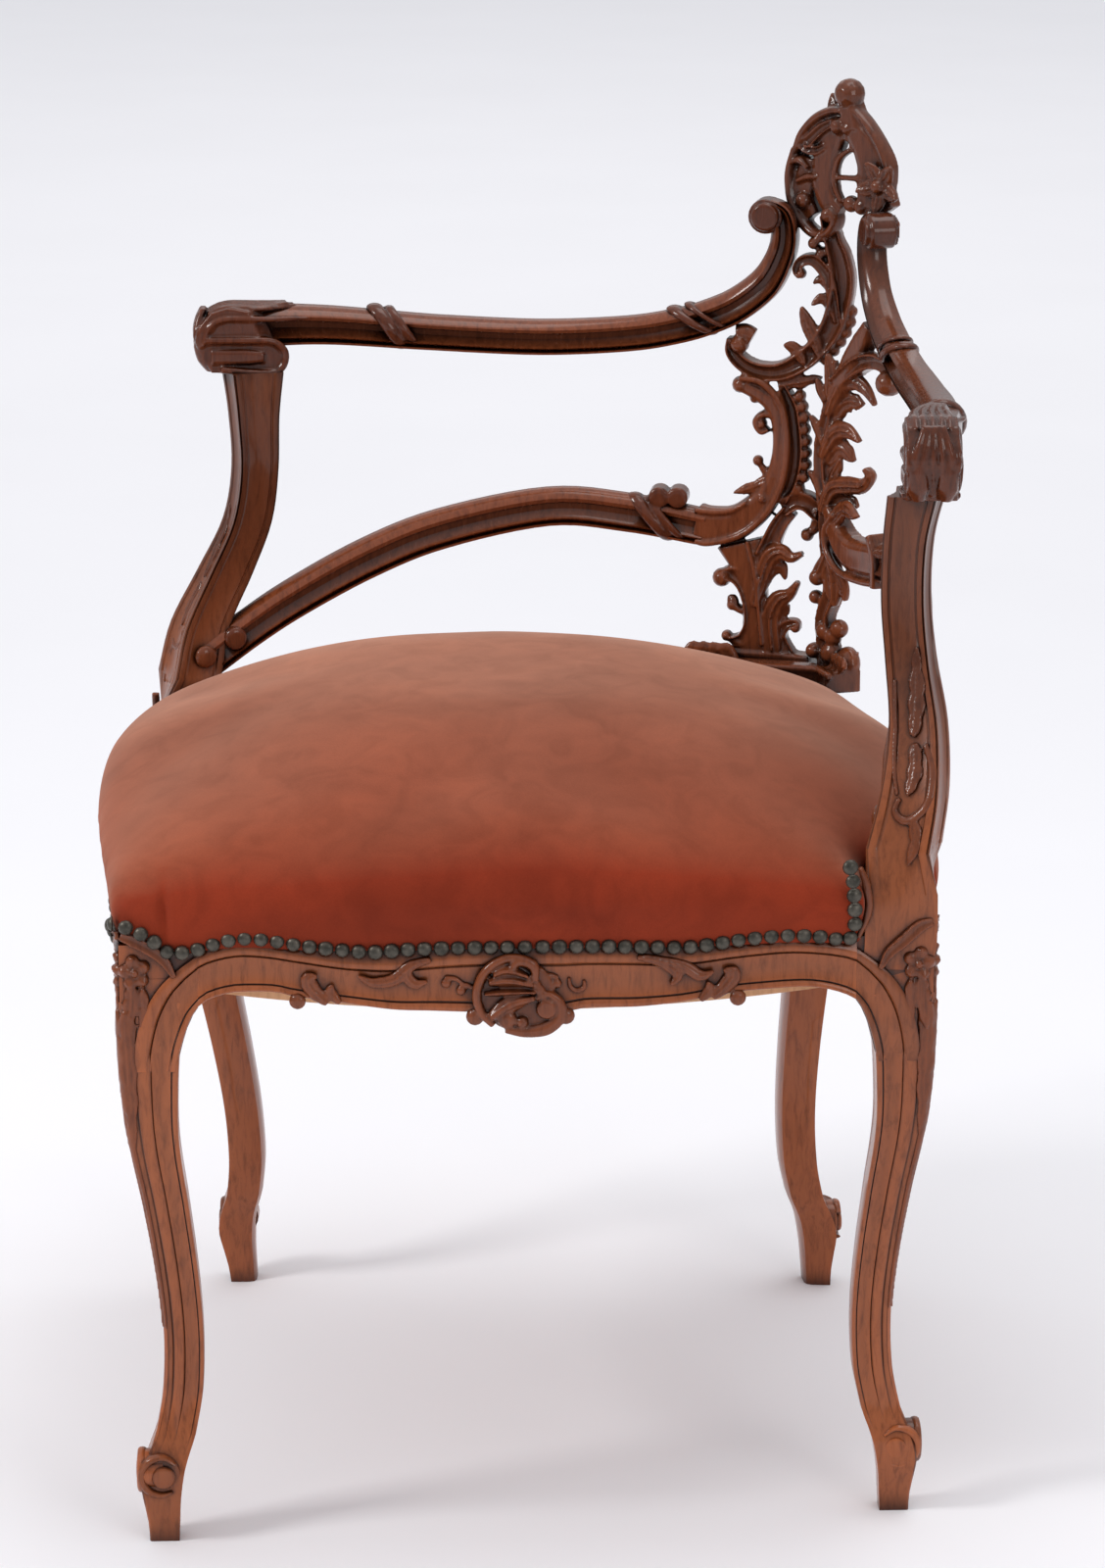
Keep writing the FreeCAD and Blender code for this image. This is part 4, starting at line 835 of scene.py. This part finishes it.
def makeArm(side, name):
    c = blank()
    place = arcPlace(side)
    band(c, place, arms["path"], arms["half"], arms["thick"], armSec, arms["away"])
    body = crisp(make("carved_" + name, c), arms["edge"])
    c = blank()
    eye = arms["volute"]
    disc(c, place, *eye, 13, -10, 9)
    for sign in (1, -1):
        disc(c, place, *eye, 10.4, 0, 12.5 * sign, 1.4 * sign)
    armFront(c, place, arms["out"], arms["tall"][side], side * arms["flare"])
    for row in arms["wraps"]:
        wrap(c, place, *row)
    obj = join(body, weld(make(name + "_relief", c), arms["carve"]))
    dress(obj, [name], walnutDark)


for side, hand in hands:
    makeArm(side, hand + "_arm")


# lower back rails
lower = {"path": [(490, 493), (453, 517), (417, 538), (360, 566), (305, 586), (224, 602), (165, 598),
                  (106, 588)],
         "half": [14, 14, 14.5, 15, 15, 14.5, 14.5, 14], "thick": [11, 11, 11, 11, 11, 10.5, 10, 9],
         "sway": {-1: 0, 1: [0, 8, 10, 10, 8, 4, 0]}, "reach": {-1: [], 1: [(82, 584)]},
         "wrap": (146, 595, 14, 10, 13, 0, .1), "button": (466, 512, 9, -8, 13, 3),
         "bosses": [(140, 611, 8, -9, 10, 2), (126, 611, 8, -9, 10, 2)]}


def makeLower(side, name):
    c = blank()
    place = arcPlace(side)
    path = lower["path"] + lower["reach"][side]
    band(c, place, path, lower["half"], lower["thick"], armSec, lower["sway"][side])
    body = crisp(make("carved_" + name, c), arms["edge"])
    c = blank()
    for row in lower["bosses"]:
        disc(c, place, *row)
    wrap(c, place, *lower["wrap"])
    disc(c, place, *lower["button"])
    obj = join(body, weld(make(name + "_relief", c), arms["carve"]))
    dress(obj, [name], walnutDark)


for side, hand in hands:
    makeLower(side, hand + "_lower_rail")
print("arms and lower rails carved")


# pierced splat, left wing
splat = {"skin": 1.1, "deep": 8}


def leftScroll(c, p, d):  # upper S-scroll from the crest to the arm
    band(c, p, [(15, 828), (10, 808), (6, 797), (3, 780), (5, 762), (11, 743), (21, 728), (35, 716),
                (50, 709), (65, 709), (77, 714), (85, 723), (85, 733)],
         [6, 7, 8.5, 9.5, 9.5, 9, 8.5, 8, 7, 6.5, 6, 5.5, 4.5], d, ribSec)
    band(c, p, [(70, 734), (76, 737), (82, 736)], 7, d - 1, roundSec)
    ball(c, p, 80, 729, 7.6, 11, 1)
    balls(c, p, [(-4, 756), (-3, 748), (0, 740), (4, 733), (9, 726), (15, 719)], 4.6, 6, 0)
    leaf(c, p, [(9, 818), (17, 813), (25, 807)], 5, 5, 3, 2, 0)
    ball(c, p, 25, 806, 4.6, 8, 1)
    ball(c, p, 19, 799, 4.6, 7, 0)
    band(c, p, [(6, 748), (10, 768), (13, 780), (19, 789), (26, 794), (34, 792), (37, 786), (34, 781)],
         [3, 4.6, 5, 5, 4.6, 4, 3.4, 2.6], 6, edgeSec, 1)
    ball(c, p, 34, 783, 4, 7, 1)
    leaf(c, p, [(12, 770), (19, 779), (25, 776)], 3.6, 4, 1, 1, 0)
    leaf(c, p, [(8, 752), (17, 765), (26, 760)], 4.6, 4, 1, 2, 0)
    leaf(c, p, [(18, 722), (24, 737), (29, 748), (33, 759)], 6.4, 5, 3, 2, 0)
    leaf(c, p, [(30, 716), (38, 727), (46, 730)], 5.4, 5, 3, 2, 0)
    leaf(c, p, [(50, 699), (33, 702), (17, 706)], 5.4, 6, 1, 0, 3)


def leftBeaded(c, p, d):  # beaded C-scroll that runs into the lower rail
    band(c, p, [(112, 591), (100, 589), (82, 592), (66, 604), (55, 619), (49, 636), (47, 653), (49, 672),
                (56, 685), (67, 693), (79, 698)], [14, 14, 13, 11.5, 9.5, 8, 7.2, 6.6, 6.2, 6, 5], d,
         slabSec)
    band(c, p, [(79, 704), (62, 701), (48, 686), (43, 665), (43, 642), (48, 620), (60, 599), (78, 584),
                (101, 577), (112, 578)], [2, 2.8, 3, 3, 3, 3, 2.8, 2.6, 2.4], 3.4, roundSec, d - 1)
    band(c, p, [(112, 602), (98, 601), (84, 603), (72, 610)], [1.8, 2, 2, 1.4], 2, roundSec, d)
    band(c, p, [(47, 698), (40, 683), (37, 665), (36, 646), (39, 627), (46, 611)], [3, 5, 5.4, 5.4, 5, 4], d,
         ribSec)
    balls(c, p, [(34, 691), (32, 683), (30, 675), (30, 666), (29, 657), (29, 648), (29, 639), (30, 630),
                 (34, 621)], 4.8, 7, 0)
    band(c, p, [(49, 676), (55, 676), (62, 676), (67, 670), (63, 663), (57, 665)], [2.5, 3, 3, 3, 2.6, 2], 6,
         roundSec, 1)
    ball(c, p, 62, 669, 3.6, 8, 1)
    ball(c, p, 79, 698, 6.6, 9, 1)
    ball(c, p, 68, 688, 4, 6, 1)
    leaf(c, p, [(50, 620), (58, 631), (66, 642)], 3.6, 5, 1, 2, 0)
    ball(c, p, 65, 641, 4.2, 6, 2)
    leaf(c, p, [(52, 630), (66, 622), (83, 616)], 5, 5, 3, 2, 2)
    ball(c, p, 61, 613, 3.4, 5, d - 2)
    band(c, p, [(46, 606), (36, 612), (27, 611), (18, 604), (8, 598)], [7, 7, 7, 7, 6], d, edgeSec)
    leaf(c, p, [(20, 606), (20, 594), (27, 585)], 5, 6, 1, 1, 0)
    ball(c, p, 27, 586, 5.2, 7, 1)
    band(c, p, [(40, 604), (47, 595), (53, 583), (58, 568)], [6, 6.4, 7, 9], d, edgeSec)


def leftFoot(c, p, d):  # acanthus plate standing on the shoe
    band(c, p, [(77, 578), (71, 556), (66, 532), (65, 513), (62, 491)], [20, 12, 9, 11, 28], d - 2, slabSec)
    band(c, p, [(91, 552), (82, 553), (74, 545), (69, 530), (69, 515), (75, 504), (84, 501)],
         [5, 6, 6, 6, 5.4, 5, 4], d, edgeSec)
    ball(c, p, 92, 550, 7.4, 9, 1)
    balls(c, p, [(84, 529), (88, 505)], 4.4, 7, 0)
    band(c, p, [(70, 524), (78, 526), (84, 529)], [4, 3.4, 3], 6, roundSec, 0)
    band(c, p, [(72, 500), (80, 501), (88, 505)], [5, 4, 3], 6, roundSec, 0)
    leaf(c, p, [(80, 529), (84, 534), (86, 526)], 4, 5, 1, 0, 0)
    band(c, p, [(66, 530), (61, 553), (55, 568), (46, 573), (38, 569), (29, 573)], [5, 7, 8, 6.5, 4.5, 2.4],
         6, leafSec, [3, 3, 4, 5, 6, 8])
    leaf(c, p, [(62, 540), (56, 556), (47, 561), (43, 551)], 6.4, 5, 1, 1, 0)
    band(c, p, [(52, 496), (54, 520), (48, 535), (39, 541), (32, 551)], [9, 9, 8, 5, 2.4], 6, leafSec,
         [3, 3, 4, 6, 8])
    leaf(c, p, [(56, 500), (46, 524), (40, 532)], 6, 5, 1, 1, 2)
    band(c, p, [(40, 494), (46, 507), (42, 516), (35, 517), (34, 512)], [5, 4.4, 4, 3.4, 2.6], 6, edgeSec, 1)
    ball(c, p, 35, 514, 4, 7, 1)
    band(c, p, [(90, 493), (52, 492), (24, 490)], [3, 4, 4], d, slabSec)
    band(c, p, [(72, 580), (66, 556), (63, 532), (60, 500)], [1.5, 1.8, 1.6, 1.2], 2, roundSec, d - 1)


def leftWing():
    c = blank()
    for draw in (leftScroll, leftBeaded, leftFoot):
        draw(c, wingPlace(-1), splat["deep"])
    obj = weld(make("carved_left_splat", c), splat["skin"])
    dress(obj, ["left_splat"], walnutDark)


leftWing()


# right wing with the stem of husks in the corner
def husks(c, p):
    band(c, p, [(0, 704), (-4, 679), (-9, 660), (-10, 641), (-8, 623), (-4, 605), (-3, 586), (-1, 566),
                (1, 545), (-6, 525), (-3, 505), (0, 488)], [4, 5.5, 6, 6, 6, 6.6, 6.6, 6, 6.4, 6, 8, 10], 7,
         edgeSec)
    leaf(c, p, [(0, 692), (0, 710), (-5, 726)], 8, 6, 2, 0, 0)
    leaf(c, p, [(3, 688), (6, 704), (4, 722)], 6, 5, 2, 1, 0)
    for spine in ([(-7, 658), (-14, 670), (-19, 678)], [(-8, 618), (-14, 629), (-20, 636)],
                  [(-6, 690), (-11, 699), (-13, 707)]):
        leaf(c, p, spine, 4.4, 5, 2, 2, 0)
    for spine, w in (([(-2, 680), (9, 702), (22, 709), (35, 705), (46, 694)], 7.5),
                     ([(-7, 648), (4, 667), (18, 671), (32, 665)], 7.5)):
        leaf(c, p, spine, w, 6, 3, 4, 0)
    for spine, w in (([(0, 678), (14, 692), (30, 692)], 9), ([(-4, 644), (8, 657), (22, 648)], 9.5),
                     ([(0, 606), (15, 617), (26, 614)], 8), ([(-6, 656), (2, 675), (10, 690)], 8),
                     ([(-6, 616), (1, 635), (9, 648)], 8.5)):
        leaf(c, p, spine, w, 5, 0, 1, 3)
    band(c, p, [(-6, 606), (3, 625), (20, 630), (34, 632), (42, 640), (38, 646)], [5, 7.5, 7.5, 6, 4.4, 2.6],
         6, leafSec, [3, 3, 4, 5, 6, 7])


def bellDrop(c, p):
    leaf(c, p, [(0, 576), (3, 556), (7, 536)], 11, 7, 1, 2, 2)
    leaf(c, p, [(-2, 574), (-9, 560), (-15, 553)], 7, 6, 2, 2, 0)
    ball(c, p, -12, 555, 6.5, 7, 2)
    ball(c, p, -13, 540, 5.6, 6, 2)
    leaf(c, p, [(6, 566), (14, 552), (18, 542)], 6, 6, 2, 2, 0)
    balls(c, p, [(-4, 515), (10, 519), (4, 512)], 7.4, 7, 2)
    ball(c, p, -13, 499, 6.4, 8, 3)
    ball(c, p, 3, 499, 9.4, 8, 2)


def rightWing():
    c = blank()
    p = wingPlace(1, 0, back["stem"])
    husks(c, p)
    bellDrop(c, p)
    a = wingPlace(1, back["armTurn"], back["stem"])  # scroll that meets the arm
    band(c, a, [(4, 696), (22, 723), (35, 740), (44, 754)], [6, 9, 9, 5], 6, slabSec)
    band(c, a, [(6, 704), (30, 721), (49, 728), (66, 727), (77, 719)], [5, 5.5, 6, 6, 5], 8, edgeSec)
    ball(c, a, 70, 715, 10, 11, 2)
    b = wingPlace(1, back["bridgeTurn"], back["stem"])  # bridge to the lower rail
    band(c, b, [(2, 610), (10, 596), (24, 585), (44, 581), (86, 585)], [5, 9, 12, 13.5, 14], 8, slabSec)
    band(c, b, [(14, 608), (2, 594), (6, 578), (25, 567), (56, 566), (84, 569)], [2, 2.6, 2.8, 2.8, 2.6], 3,
         roundSec, 7)
    leaf(c, b, [(6, 598), (27, 614), (51, 613)], 8, 6, 3, 3, 2)
    band(c, b, [(74, 604), (82, 588), (83, 566)], [4, 5, 4], 10, slabSec, 1)
    obj = weld(make("carved_right_splat", c), splat["skin"])
    dress(obj, ["right_splat"], walnutDark)


rightWing()


# crest cartouche
crest = {"flower": (44, 855), "petals": 5, "turn": 50}


def crestField(c, p):  # smooth shoulders round the pierced eye
    ball(c, p, 6, 918, 11.6, 11.6, 0)
    band(c, p, [(7, 911), (9, 903), (10, 893)], [7.5, 9, 13], 7, slabSec)
    band(c, p, [(9, 904), (15, 892), (25, 880), (32, 866), (31, 850), (28, 838)], [8, 10, 14, 17, 16, 12], 6,
         slabSec)
    band(c, p, [(13, 908), (24, 899), (36, 886), (43, 874), (47, 862)], [2.4, 3, 3, 2.8, 2], 7, roundSec)
    band(c, p, [(3, 897), (-8, 884), (-15, 867), (-16, 852), (-11, 838), (0, 830)],
         [9, 11, 11.5, 11.5, 10, 8], 5, slabSec)
    band(c, p, [(11, 878), (1, 871), (-4, 859), (-3, 849), (3, 839)], [2, 2.6, 2.8, 2.6, 2], 4, roundSec, 3)
    band(c, p, [(10, 880), (18, 884), (6, 889)], [4, 5, 6], 5, slabSec)
    band(c, p, [(-5, 856), (10, 857), (33, 858)], [2, 2.2, 3], 3.4, roundSec, 3)
    balls(c, p, [(11, 838), (21, 837)], 6.6, 6, 2)


def crestRim(c, p):  # C-scrolls with curled lips down the left edge
    band(c, p, [(2, 906), (-10, 904), (-24, 897), (-36, 885), (-42, 872)], [3, 4, 4.4, 4.4, 3.4], 8,
         roundSec)
    band(c, p, [(-4, 897), (-16, 891), (-27, 882), (-34, 876), (-23, 874), (-13, 878)],
         [3, 4.4, 5, 4, 3.4, 2.2], 6, edgeSec, 2)
    band(c, p, [(-42, 874), (-47, 858), (-47, 845), (-44, 833), (-36, 821), (-24, 813), (-13, 813),
                (-5, 819), (-3, 827), (-8, 833)], [3, 4, 4.4, 4.6, 4.8, 4.8, 4.4, 4, 3.6, 3], 8, roundSec, 1)
    band(c, p, [(-43, 864), (-36, 866), (-28, 861)], [2, 3.4, 2], 5, roundSec, 4)
    band(c, p, [(-40, 850), (-30, 854), (-20, 855)], [2, 3, 1.5], 4, roundSec, 3)
    band(c, p, [(-30, 868), (-36, 850), (-36, 836), (-28, 824)], [8, 9, 9, 7], 5, slabSec, -1)
    ball(c, p, -9, 828, 6.4, 9, 2)
    ball(c, p, -34, 836, 7, 8, 2)
    ball(c, p, -1, 894, 6.6, 8, 3)
    ball(c, p, 8, 893, 5.4, 7, 2)
    leaf(c, p, [(-14, 896), (-15, 906), (-17, 916)], 5.4, 4, -5, -3, 0)
    leaf(c, p, [(-38, 868), (-43, 877), (-48, 884)], 5, 4, -5, -3, 0)


def makeCrest():
    c = blank()
    p = wingPlace(1, 0, back["crest"])
    crestField(c, p)
    crestRim(c, p)
    x, z = crest["flower"]
    for k in range(crest["petals"]):
        a = math.radians(360 / crest["petals"] * k + crest["turn"])
        leaf(c, p, [(x + r * math.cos(a), z + r * math.sin(a)) for r in (4, 11, 20)], 7, 5, 9, 4, 0)
    ball(c, p, x, z, 5.4, 5, 13)
    band(c, p, [(28, 842), (38, 841), (50, 845)], [7, 8, 5], 6, slabSec)
    band(c, p, [(27, 832), (34, 829), (41, 832)], [5, 6, 4], 6, slabSec)
    obj = weld(make("carved_crest", c), splat["skin"])
    dress(obj, ["crest"], walnutDark)


makeCrest()


# shoe under the splat
shoe = {"skin": 1.4, "mid": 482, "half": 8.5, "roll": 488, "bead": 476, "front": 25,
        "arms": ((-1, 108, 17), (1, 37, 14))}  # side, length, half depth


def makeShoe():
    c = blank()
    for side, long, deep in shoe["arms"]:
        p = wingPlace(side)
        mid, roll, bead, front = shoe["mid"], shoe["roll"], shoe["bead"], shoe["front"]
        band(c, p, [(-10, mid), (long - 3, mid)], shoe["half"], deep, slabSec, front - deep)
        band(c, p, [(-14, roll), (long, roll)], 3, 3.5, roundSec, front - 2)
        band(c, p, [(-14, bead), (long, bead)], 2, 2.5, roundSec, front - 1)
        for k in range(4):
            root = long - 30 + 8 * k
            leaf(c, p, [(root, 490), (root + 8, 498), (root + 16, 496)], 5, 4, 12, 2, 0)
    ball(c, p, 23, 494, 13, 9, 3)  # rounded stop over the pegs
    obj = weld(make("moulded_splat_shoe", c), shoe["skin"])
    dress(obj, ["splat_shoe"], walnutDark)


makeShoe()
print("splat, crest and shoe carved")


# stuffed seat under velvet
cushion = {"fill": .62, "ripple": .9, "tuck": 5, "tuckAt": (33, 452), "tuckSize": (3.4, 28),
           "tuckFrom": (20, 425), "tuckTo": (46, 480), "tuckDeep": -14, "pull": 9, "pullWide": 58,
           "room": 49, "roomWide": 120, "roomTall": (415, 600), "firm": 440, "firmOver": 40, "even": 462,
           "evenOver": 30, "evenRounds": 110, "skin": 5.0, "sandRounds": 20, "sand": .6,
           "rows": [(415, -6, 26, 8), (425, -1, 27, 8), (434, 2, 29, 10), (447, 5, 34, 13), (460, 6, 48, 20),
                    (474, 2, 72, 26), (486, -6, 102, 28), (497, -18, 132, 27), (508, -35, 152, 24),
                    (519, -58, 158, 20), (530, -86, 148, 15), (540, -118, 125, 10), (547, -148, 105, 6),
                    (550, -172, 85, 3)]}  # height, growth past the rails, round corner, bow


def grown(i, g):  # corner of the seat plan moved out by g
    a, b = sideDir((i - 1) % 4), sideDir(i)
    p = corners[i] + sideOut((i - 1) % 4) * g
    q = corners[i] + sideOut(i) * g
    cross = a.x * b.y - a.y * b.x
    run = ((q.x - p.x) * b.y - (q.y - p.y) * b.x) / cross
    return p + a * run


def seatRing(g, cut, bow):
    roundSteps, edgeSteps = 14, 44
    pts = []
    for i in range(4):
        t = grown(i, g)
        s = t - sideDir((i - 1) % 4) * cut
        e = t + sideDir(i) * cut
        for k in range(roundSteps):
            f = k / roundSteps
            pts.append(s * (1 - f) ** 2 + t * 2 * f * (1 - f) + e * f * f)
        far = grown((i + 1) % 4, g) - sideDir(i) * cut
        for k in range(edgeSteps):
            f = k / edgeSteps
            pts.append(e.lerp(far, f) + sideOut(i) * bow * 4 * f * (1 - f))
    return pts


def shrunk(ring, share, lift):
    mid = sum(ring, Vector()) / len(ring)
    return [mid + (v - mid) * share + Vector((0, 0, lift)) for v in ring]


def makeCushion():
    rows = smooth([r[:3] for r in cushion["rows"]], 4)
    bows = smooth([(r[3], 0) for r in cushion["rows"]], 4)
    rings = [[Vector((q.x, q.y, p.x)) for q in seatRing(p.y, p.z, b.x)] for p, b in zip(rows, bows)]
    under = [shrunk(rings[0], share, 4) for share in (.05, .4, .94)]
    crown = [shrunk(rings[-1], share, lift) for share, lift in ((.72, .8), (.45, 1.4), (.2, 1.7),
                                                                (.05, 1.8))]
    rings = under + rings + crown
    for ring in rings:
        for v in ring:
            n = noise.noise(v * .011) + .5 * noise.noise(v * .027)
            v.z += cushion["ripple"] * n * clamp((v.z - cushion["firm"]) / cushion["firmOver"])
    c = blank()
    loft(c, rings)
    return make("velvet_seat", c)


def postCorner(i):  # inner corner of an arm post
    a, b = runsFrom(i)
    return corners[i] + (a + b) * cushion["room"]


def cutRoom(obj, i):  # notch in the stuffing for an arm post
    a, b = runsFrom(i)
    inner = postCorner(i)
    wide = cushion["roomWide"]
    outline = [inner, inner - a * wide, inner - (a + b) * wide, inner - b * wide]
    c = blank()
    loft(c, [[Vector((p.x, p.y, z)) for p in outline] for z in cushion["roomTall"]])
    tool = make("room", c)
    applyModifier(obj, "BOOLEAN", operation="DIFFERENCE", object=tool, solver="EXACT")
    bpy.data.objects.remove(tool)


def evenCrown(obj):  # evens out the stuffing
    crown = obj.vertex_groups.new(name="crown")
    for v in obj.data.vertices:
        crown.add([v.index], clamp((v.co.z / mm - cushion["even"]) / cushion["evenOver"]), "REPLACE")
    applyModifier(obj, "SMOOTH", vertex_group="crown", factor=cushion["sand"],
                  iterations=cushion["evenRounds"])
    shadeSmooth(obj)
    applyModifier(obj, "SUBSURF", levels=1, render_levels=1)


def tuckCorner(obj):  # stitched tuck near the front corner
    (atU, atZ), (wide, tall) = cushion["tuckAt"], cushion["tuckSize"]
    (lowU, lowZ), (highU, highZ) = cushion["tuckFrom"], cushion["tuckTo"]
    for v in obj.data.vertices:
        d = Vector((v.co.x, v.co.y)) / mm - corners[0]
        u, z = d.dot(sideDir(0)), v.co.z / mm
        if lowU < u < highU and lowZ < z < highZ and d.dot(sideOut(0)) > cushion["tuckDeep"]:
            dip = math.exp(-((u - atU) / wide) ** 2) * cushion["tuck"] * max(0, 1 - abs(z - atZ) / tall)
            v.co.x -= sideOut(0).x * dip * mm
            v.co.y -= sideOut(0).y * dip * mm


def pullTight(obj, i):  # cover pulled down round an arm post
    foot = postCorner(i)
    for v in obj.data.vertices:
        near = (Vector((v.co.x, v.co.y)) / mm - foot).length
        share = clamp((v.co.z / mm - cushion["firm"]) / cushion["firmOver"])
        v.co.z -= cushion["pull"] * math.exp(-(near / cushion["pullWide"]) ** 2) * share * mm


seatPad = makeCushion()
for i in postCorners:
    cutRoom(seatPad, i)
weld(seatPad, cushion["skin"], cushion["sandRounds"], cushion["sand"])
evenCrown(seatPad)
tuckCorner(seatPad)
for i in postCorners:
    pullTight(seatPad, i)
dress(seatPad, ["velvet_cover", "hair_pad"], velvet)
print("seat stuffed")


# nails
nails = {"radius": 5.2, "dome": 3.6, "step": 10.6, "proud": 1.5, "line": 426, "facing": .28,
         "drop": 9, "round": 26,
         "front": [(8, 441), (20, 436), (28, 430), (38, 422), (47, 424), (57, 426), (67, 430), (78, 433),
                   (89, 434), (100, 433), (123, 429), (146, 426), (170, 424), (195, 426), (234, 427),
                   (311, 427), (344, 426), (376, 425), (395, 427), (415, 430), (441, 432), (460, 431),
                   (473, 429), (484, 427), (488, 440), (487, 454), (486, 466), (484, 478), (481, 488)],
         "back": [(4, 436), (30, 428), (60, 424), (120, 424), (250, 424), (400, 424), (488, 424)]}
nailRows = [nails["front"], nails["back"], nails["back"], nails["front"][:-3]]  # fewer up the left post


def nailSpots(row, scale):
    path = smooth([(u * scale, z) for u, z in row], 60)
    walked = 0.0
    spots = [path[0]]
    for p, q in zip(path, path[1:]):
        walked += (q - p).length
        if walked >= nails["step"]:
            spots.append(q)
            walked = 0.0
    return spots


def makeNails(i, name, mirror):
    c = blank()
    place = facePlace(i, mirror)
    for p in nailSpots(nailRows[i], sideLong(i) / rails["long"]):
        lift = nails["proud"] + max(0, p.y - nails["line"]) * nails["facing"]
        lift -= nails["drop"] * max(0, 1 - p.x / nails["round"]) ** 2  # follows the round corner
        r = nails["radius"] * random.uniform(.95, 1.04)
        rings = []
        for k in range(6):
            a = math.pi / 2 * k / 5.4
            rings.append([place(p.x + r * math.cos(a) * x, p.y + r * math.cos(a) * y,
                                lift + nails["dome"] * math.sin(a)) for x, y in roundSec])
        loft(c, rings)
    obj = make("dome_" + name, c)
    shadeSmooth(obj)
    dress(obj, [name], bronze)


for index, (name, mirror) in enumerate(sides):
    makeNails(index, name + "_nails", mirror)
print("nails set")


# lining strips and hidden joinery keep their shape and get their own finish
plain = {"liner": beech, "corner_blocks": beech, "corner_block_screws": steel, "dowels": walnutDark,
         "webbing": jute, "canvas": linen}
for name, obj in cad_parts.items():
    for key, mat in plain.items():
        if key in name:
            obj.data.materials.clear()
            obj.data.materials.append(mat)


# floor, light and camera
studio = {"sky": .86, "low": .42, "zenith": 1.2, "floor": 30, "paper": (.91, .91, .94),
          "warm": (1, .985, .97),
          "lamps": [("key", (-1.2, -2.6, 2.6), .8, 46, (0, 0, .45)),
                    ("fill", (2.8, -.6, 1.5), .9, 9, (0, 0, .45)),
                    ("top", (.2, .6, 3.2), 1.6, 20, (0, 0, .45)),
                    ("back", (-3.6, 3.8, 3.4), 4.0, 34, (-4.2, 4.4, 0))]}  # place, size, power, aim
view = {"at": (2.48, -2.573, 1.43), "turn": 43.4, "tilt": 15.1, "lens": 120.6, "film": 36}


def layFloor():
    mesh = bpy.data.meshes.new("floor")
    wide = studio["floor"]
    mesh.from_pydata([(-wide, -wide, 0), (wide, -wide, 0), (wide, wide, 0), (-wide, wide, 0)], [],
                     [(0, 1, 2, 3)])
    floor = bpy.data.objects.new("floor", mesh)
    scene.collection.objects.link(floor)
    paper, tree, bsdf = startMaterial("paper")
    shade = [(.3, [v * .985 for v in studio["paper"]]), (.7, studio["paper"])]
    tone = ramp(tree, clouds(tree, objectSpace(tree), 2.5), shade)
    tree.links.new(tone, bsdf.inputs["Base Color"])
    bsdf.inputs["Roughness"].default_value = .8
    mesh.materials.append(paper)


def hangSky():  # ceiling brighter than the walls
    world = bpy.data.worlds.new("studio")
    scene.world = world
    world.use_nodes = True
    sky = world.node_tree
    heading = addNode(sky, "ShaderNodeTexCoord")
    upward = addNode(sky, "ShaderNodeSeparateXYZ")
    sky.links.new(heading.outputs["Generated"], upward.inputs["Vector"])
    dome = ramp(sky, upward.outputs["Z"], [(0, [v * studio["low"] for v in (.95, .95, .98)]),
                                           (1, [v * studio["zenith"] for v in (.93, .935, .96)])])
    sky.links.new(dome, sky.nodes["Background"].inputs["Color"])
    sky.nodes["Background"].inputs["Strength"].default_value = studio["sky"]


def hangLamp(name, at, size, power, aim):
    light = bpy.data.lights.new(name, "AREA")
    light.energy = power
    light.size = size
    light.color = studio["warm"]
    obj = bpy.data.objects.new(name, light)
    scene.collection.objects.link(obj)
    obj.location = at
    obj.rotation_euler = (Vector(aim) - Vector(at)).to_track_quat("-Z", "Y").to_euler()


def setCamera():
    camera = bpy.data.cameras.new("camera")
    camera.sensor_fit = "VERTICAL"
    camera.sensor_height = view["film"]
    camera.lens = view["lens"]
    eye = bpy.data.objects.new("camera", camera)
    scene.collection.objects.link(eye)
    turn, tilt = math.radians(view["turn"]), math.radians(view["tilt"])
    look = Vector((-math.sin(turn) * math.cos(tilt), math.cos(turn) * math.cos(tilt), -math.sin(tilt)))
    eye.location = view["at"]
    eye.rotation_euler = look.to_track_quat("-Z", "Y").to_euler()
    scene.camera = eye
    scene.view_settings.view_transform = "Standard"


layFloor()
hangSky()
for row in studio["lamps"]:
    hangLamp(*row)
setCamera()
print("studio ready")
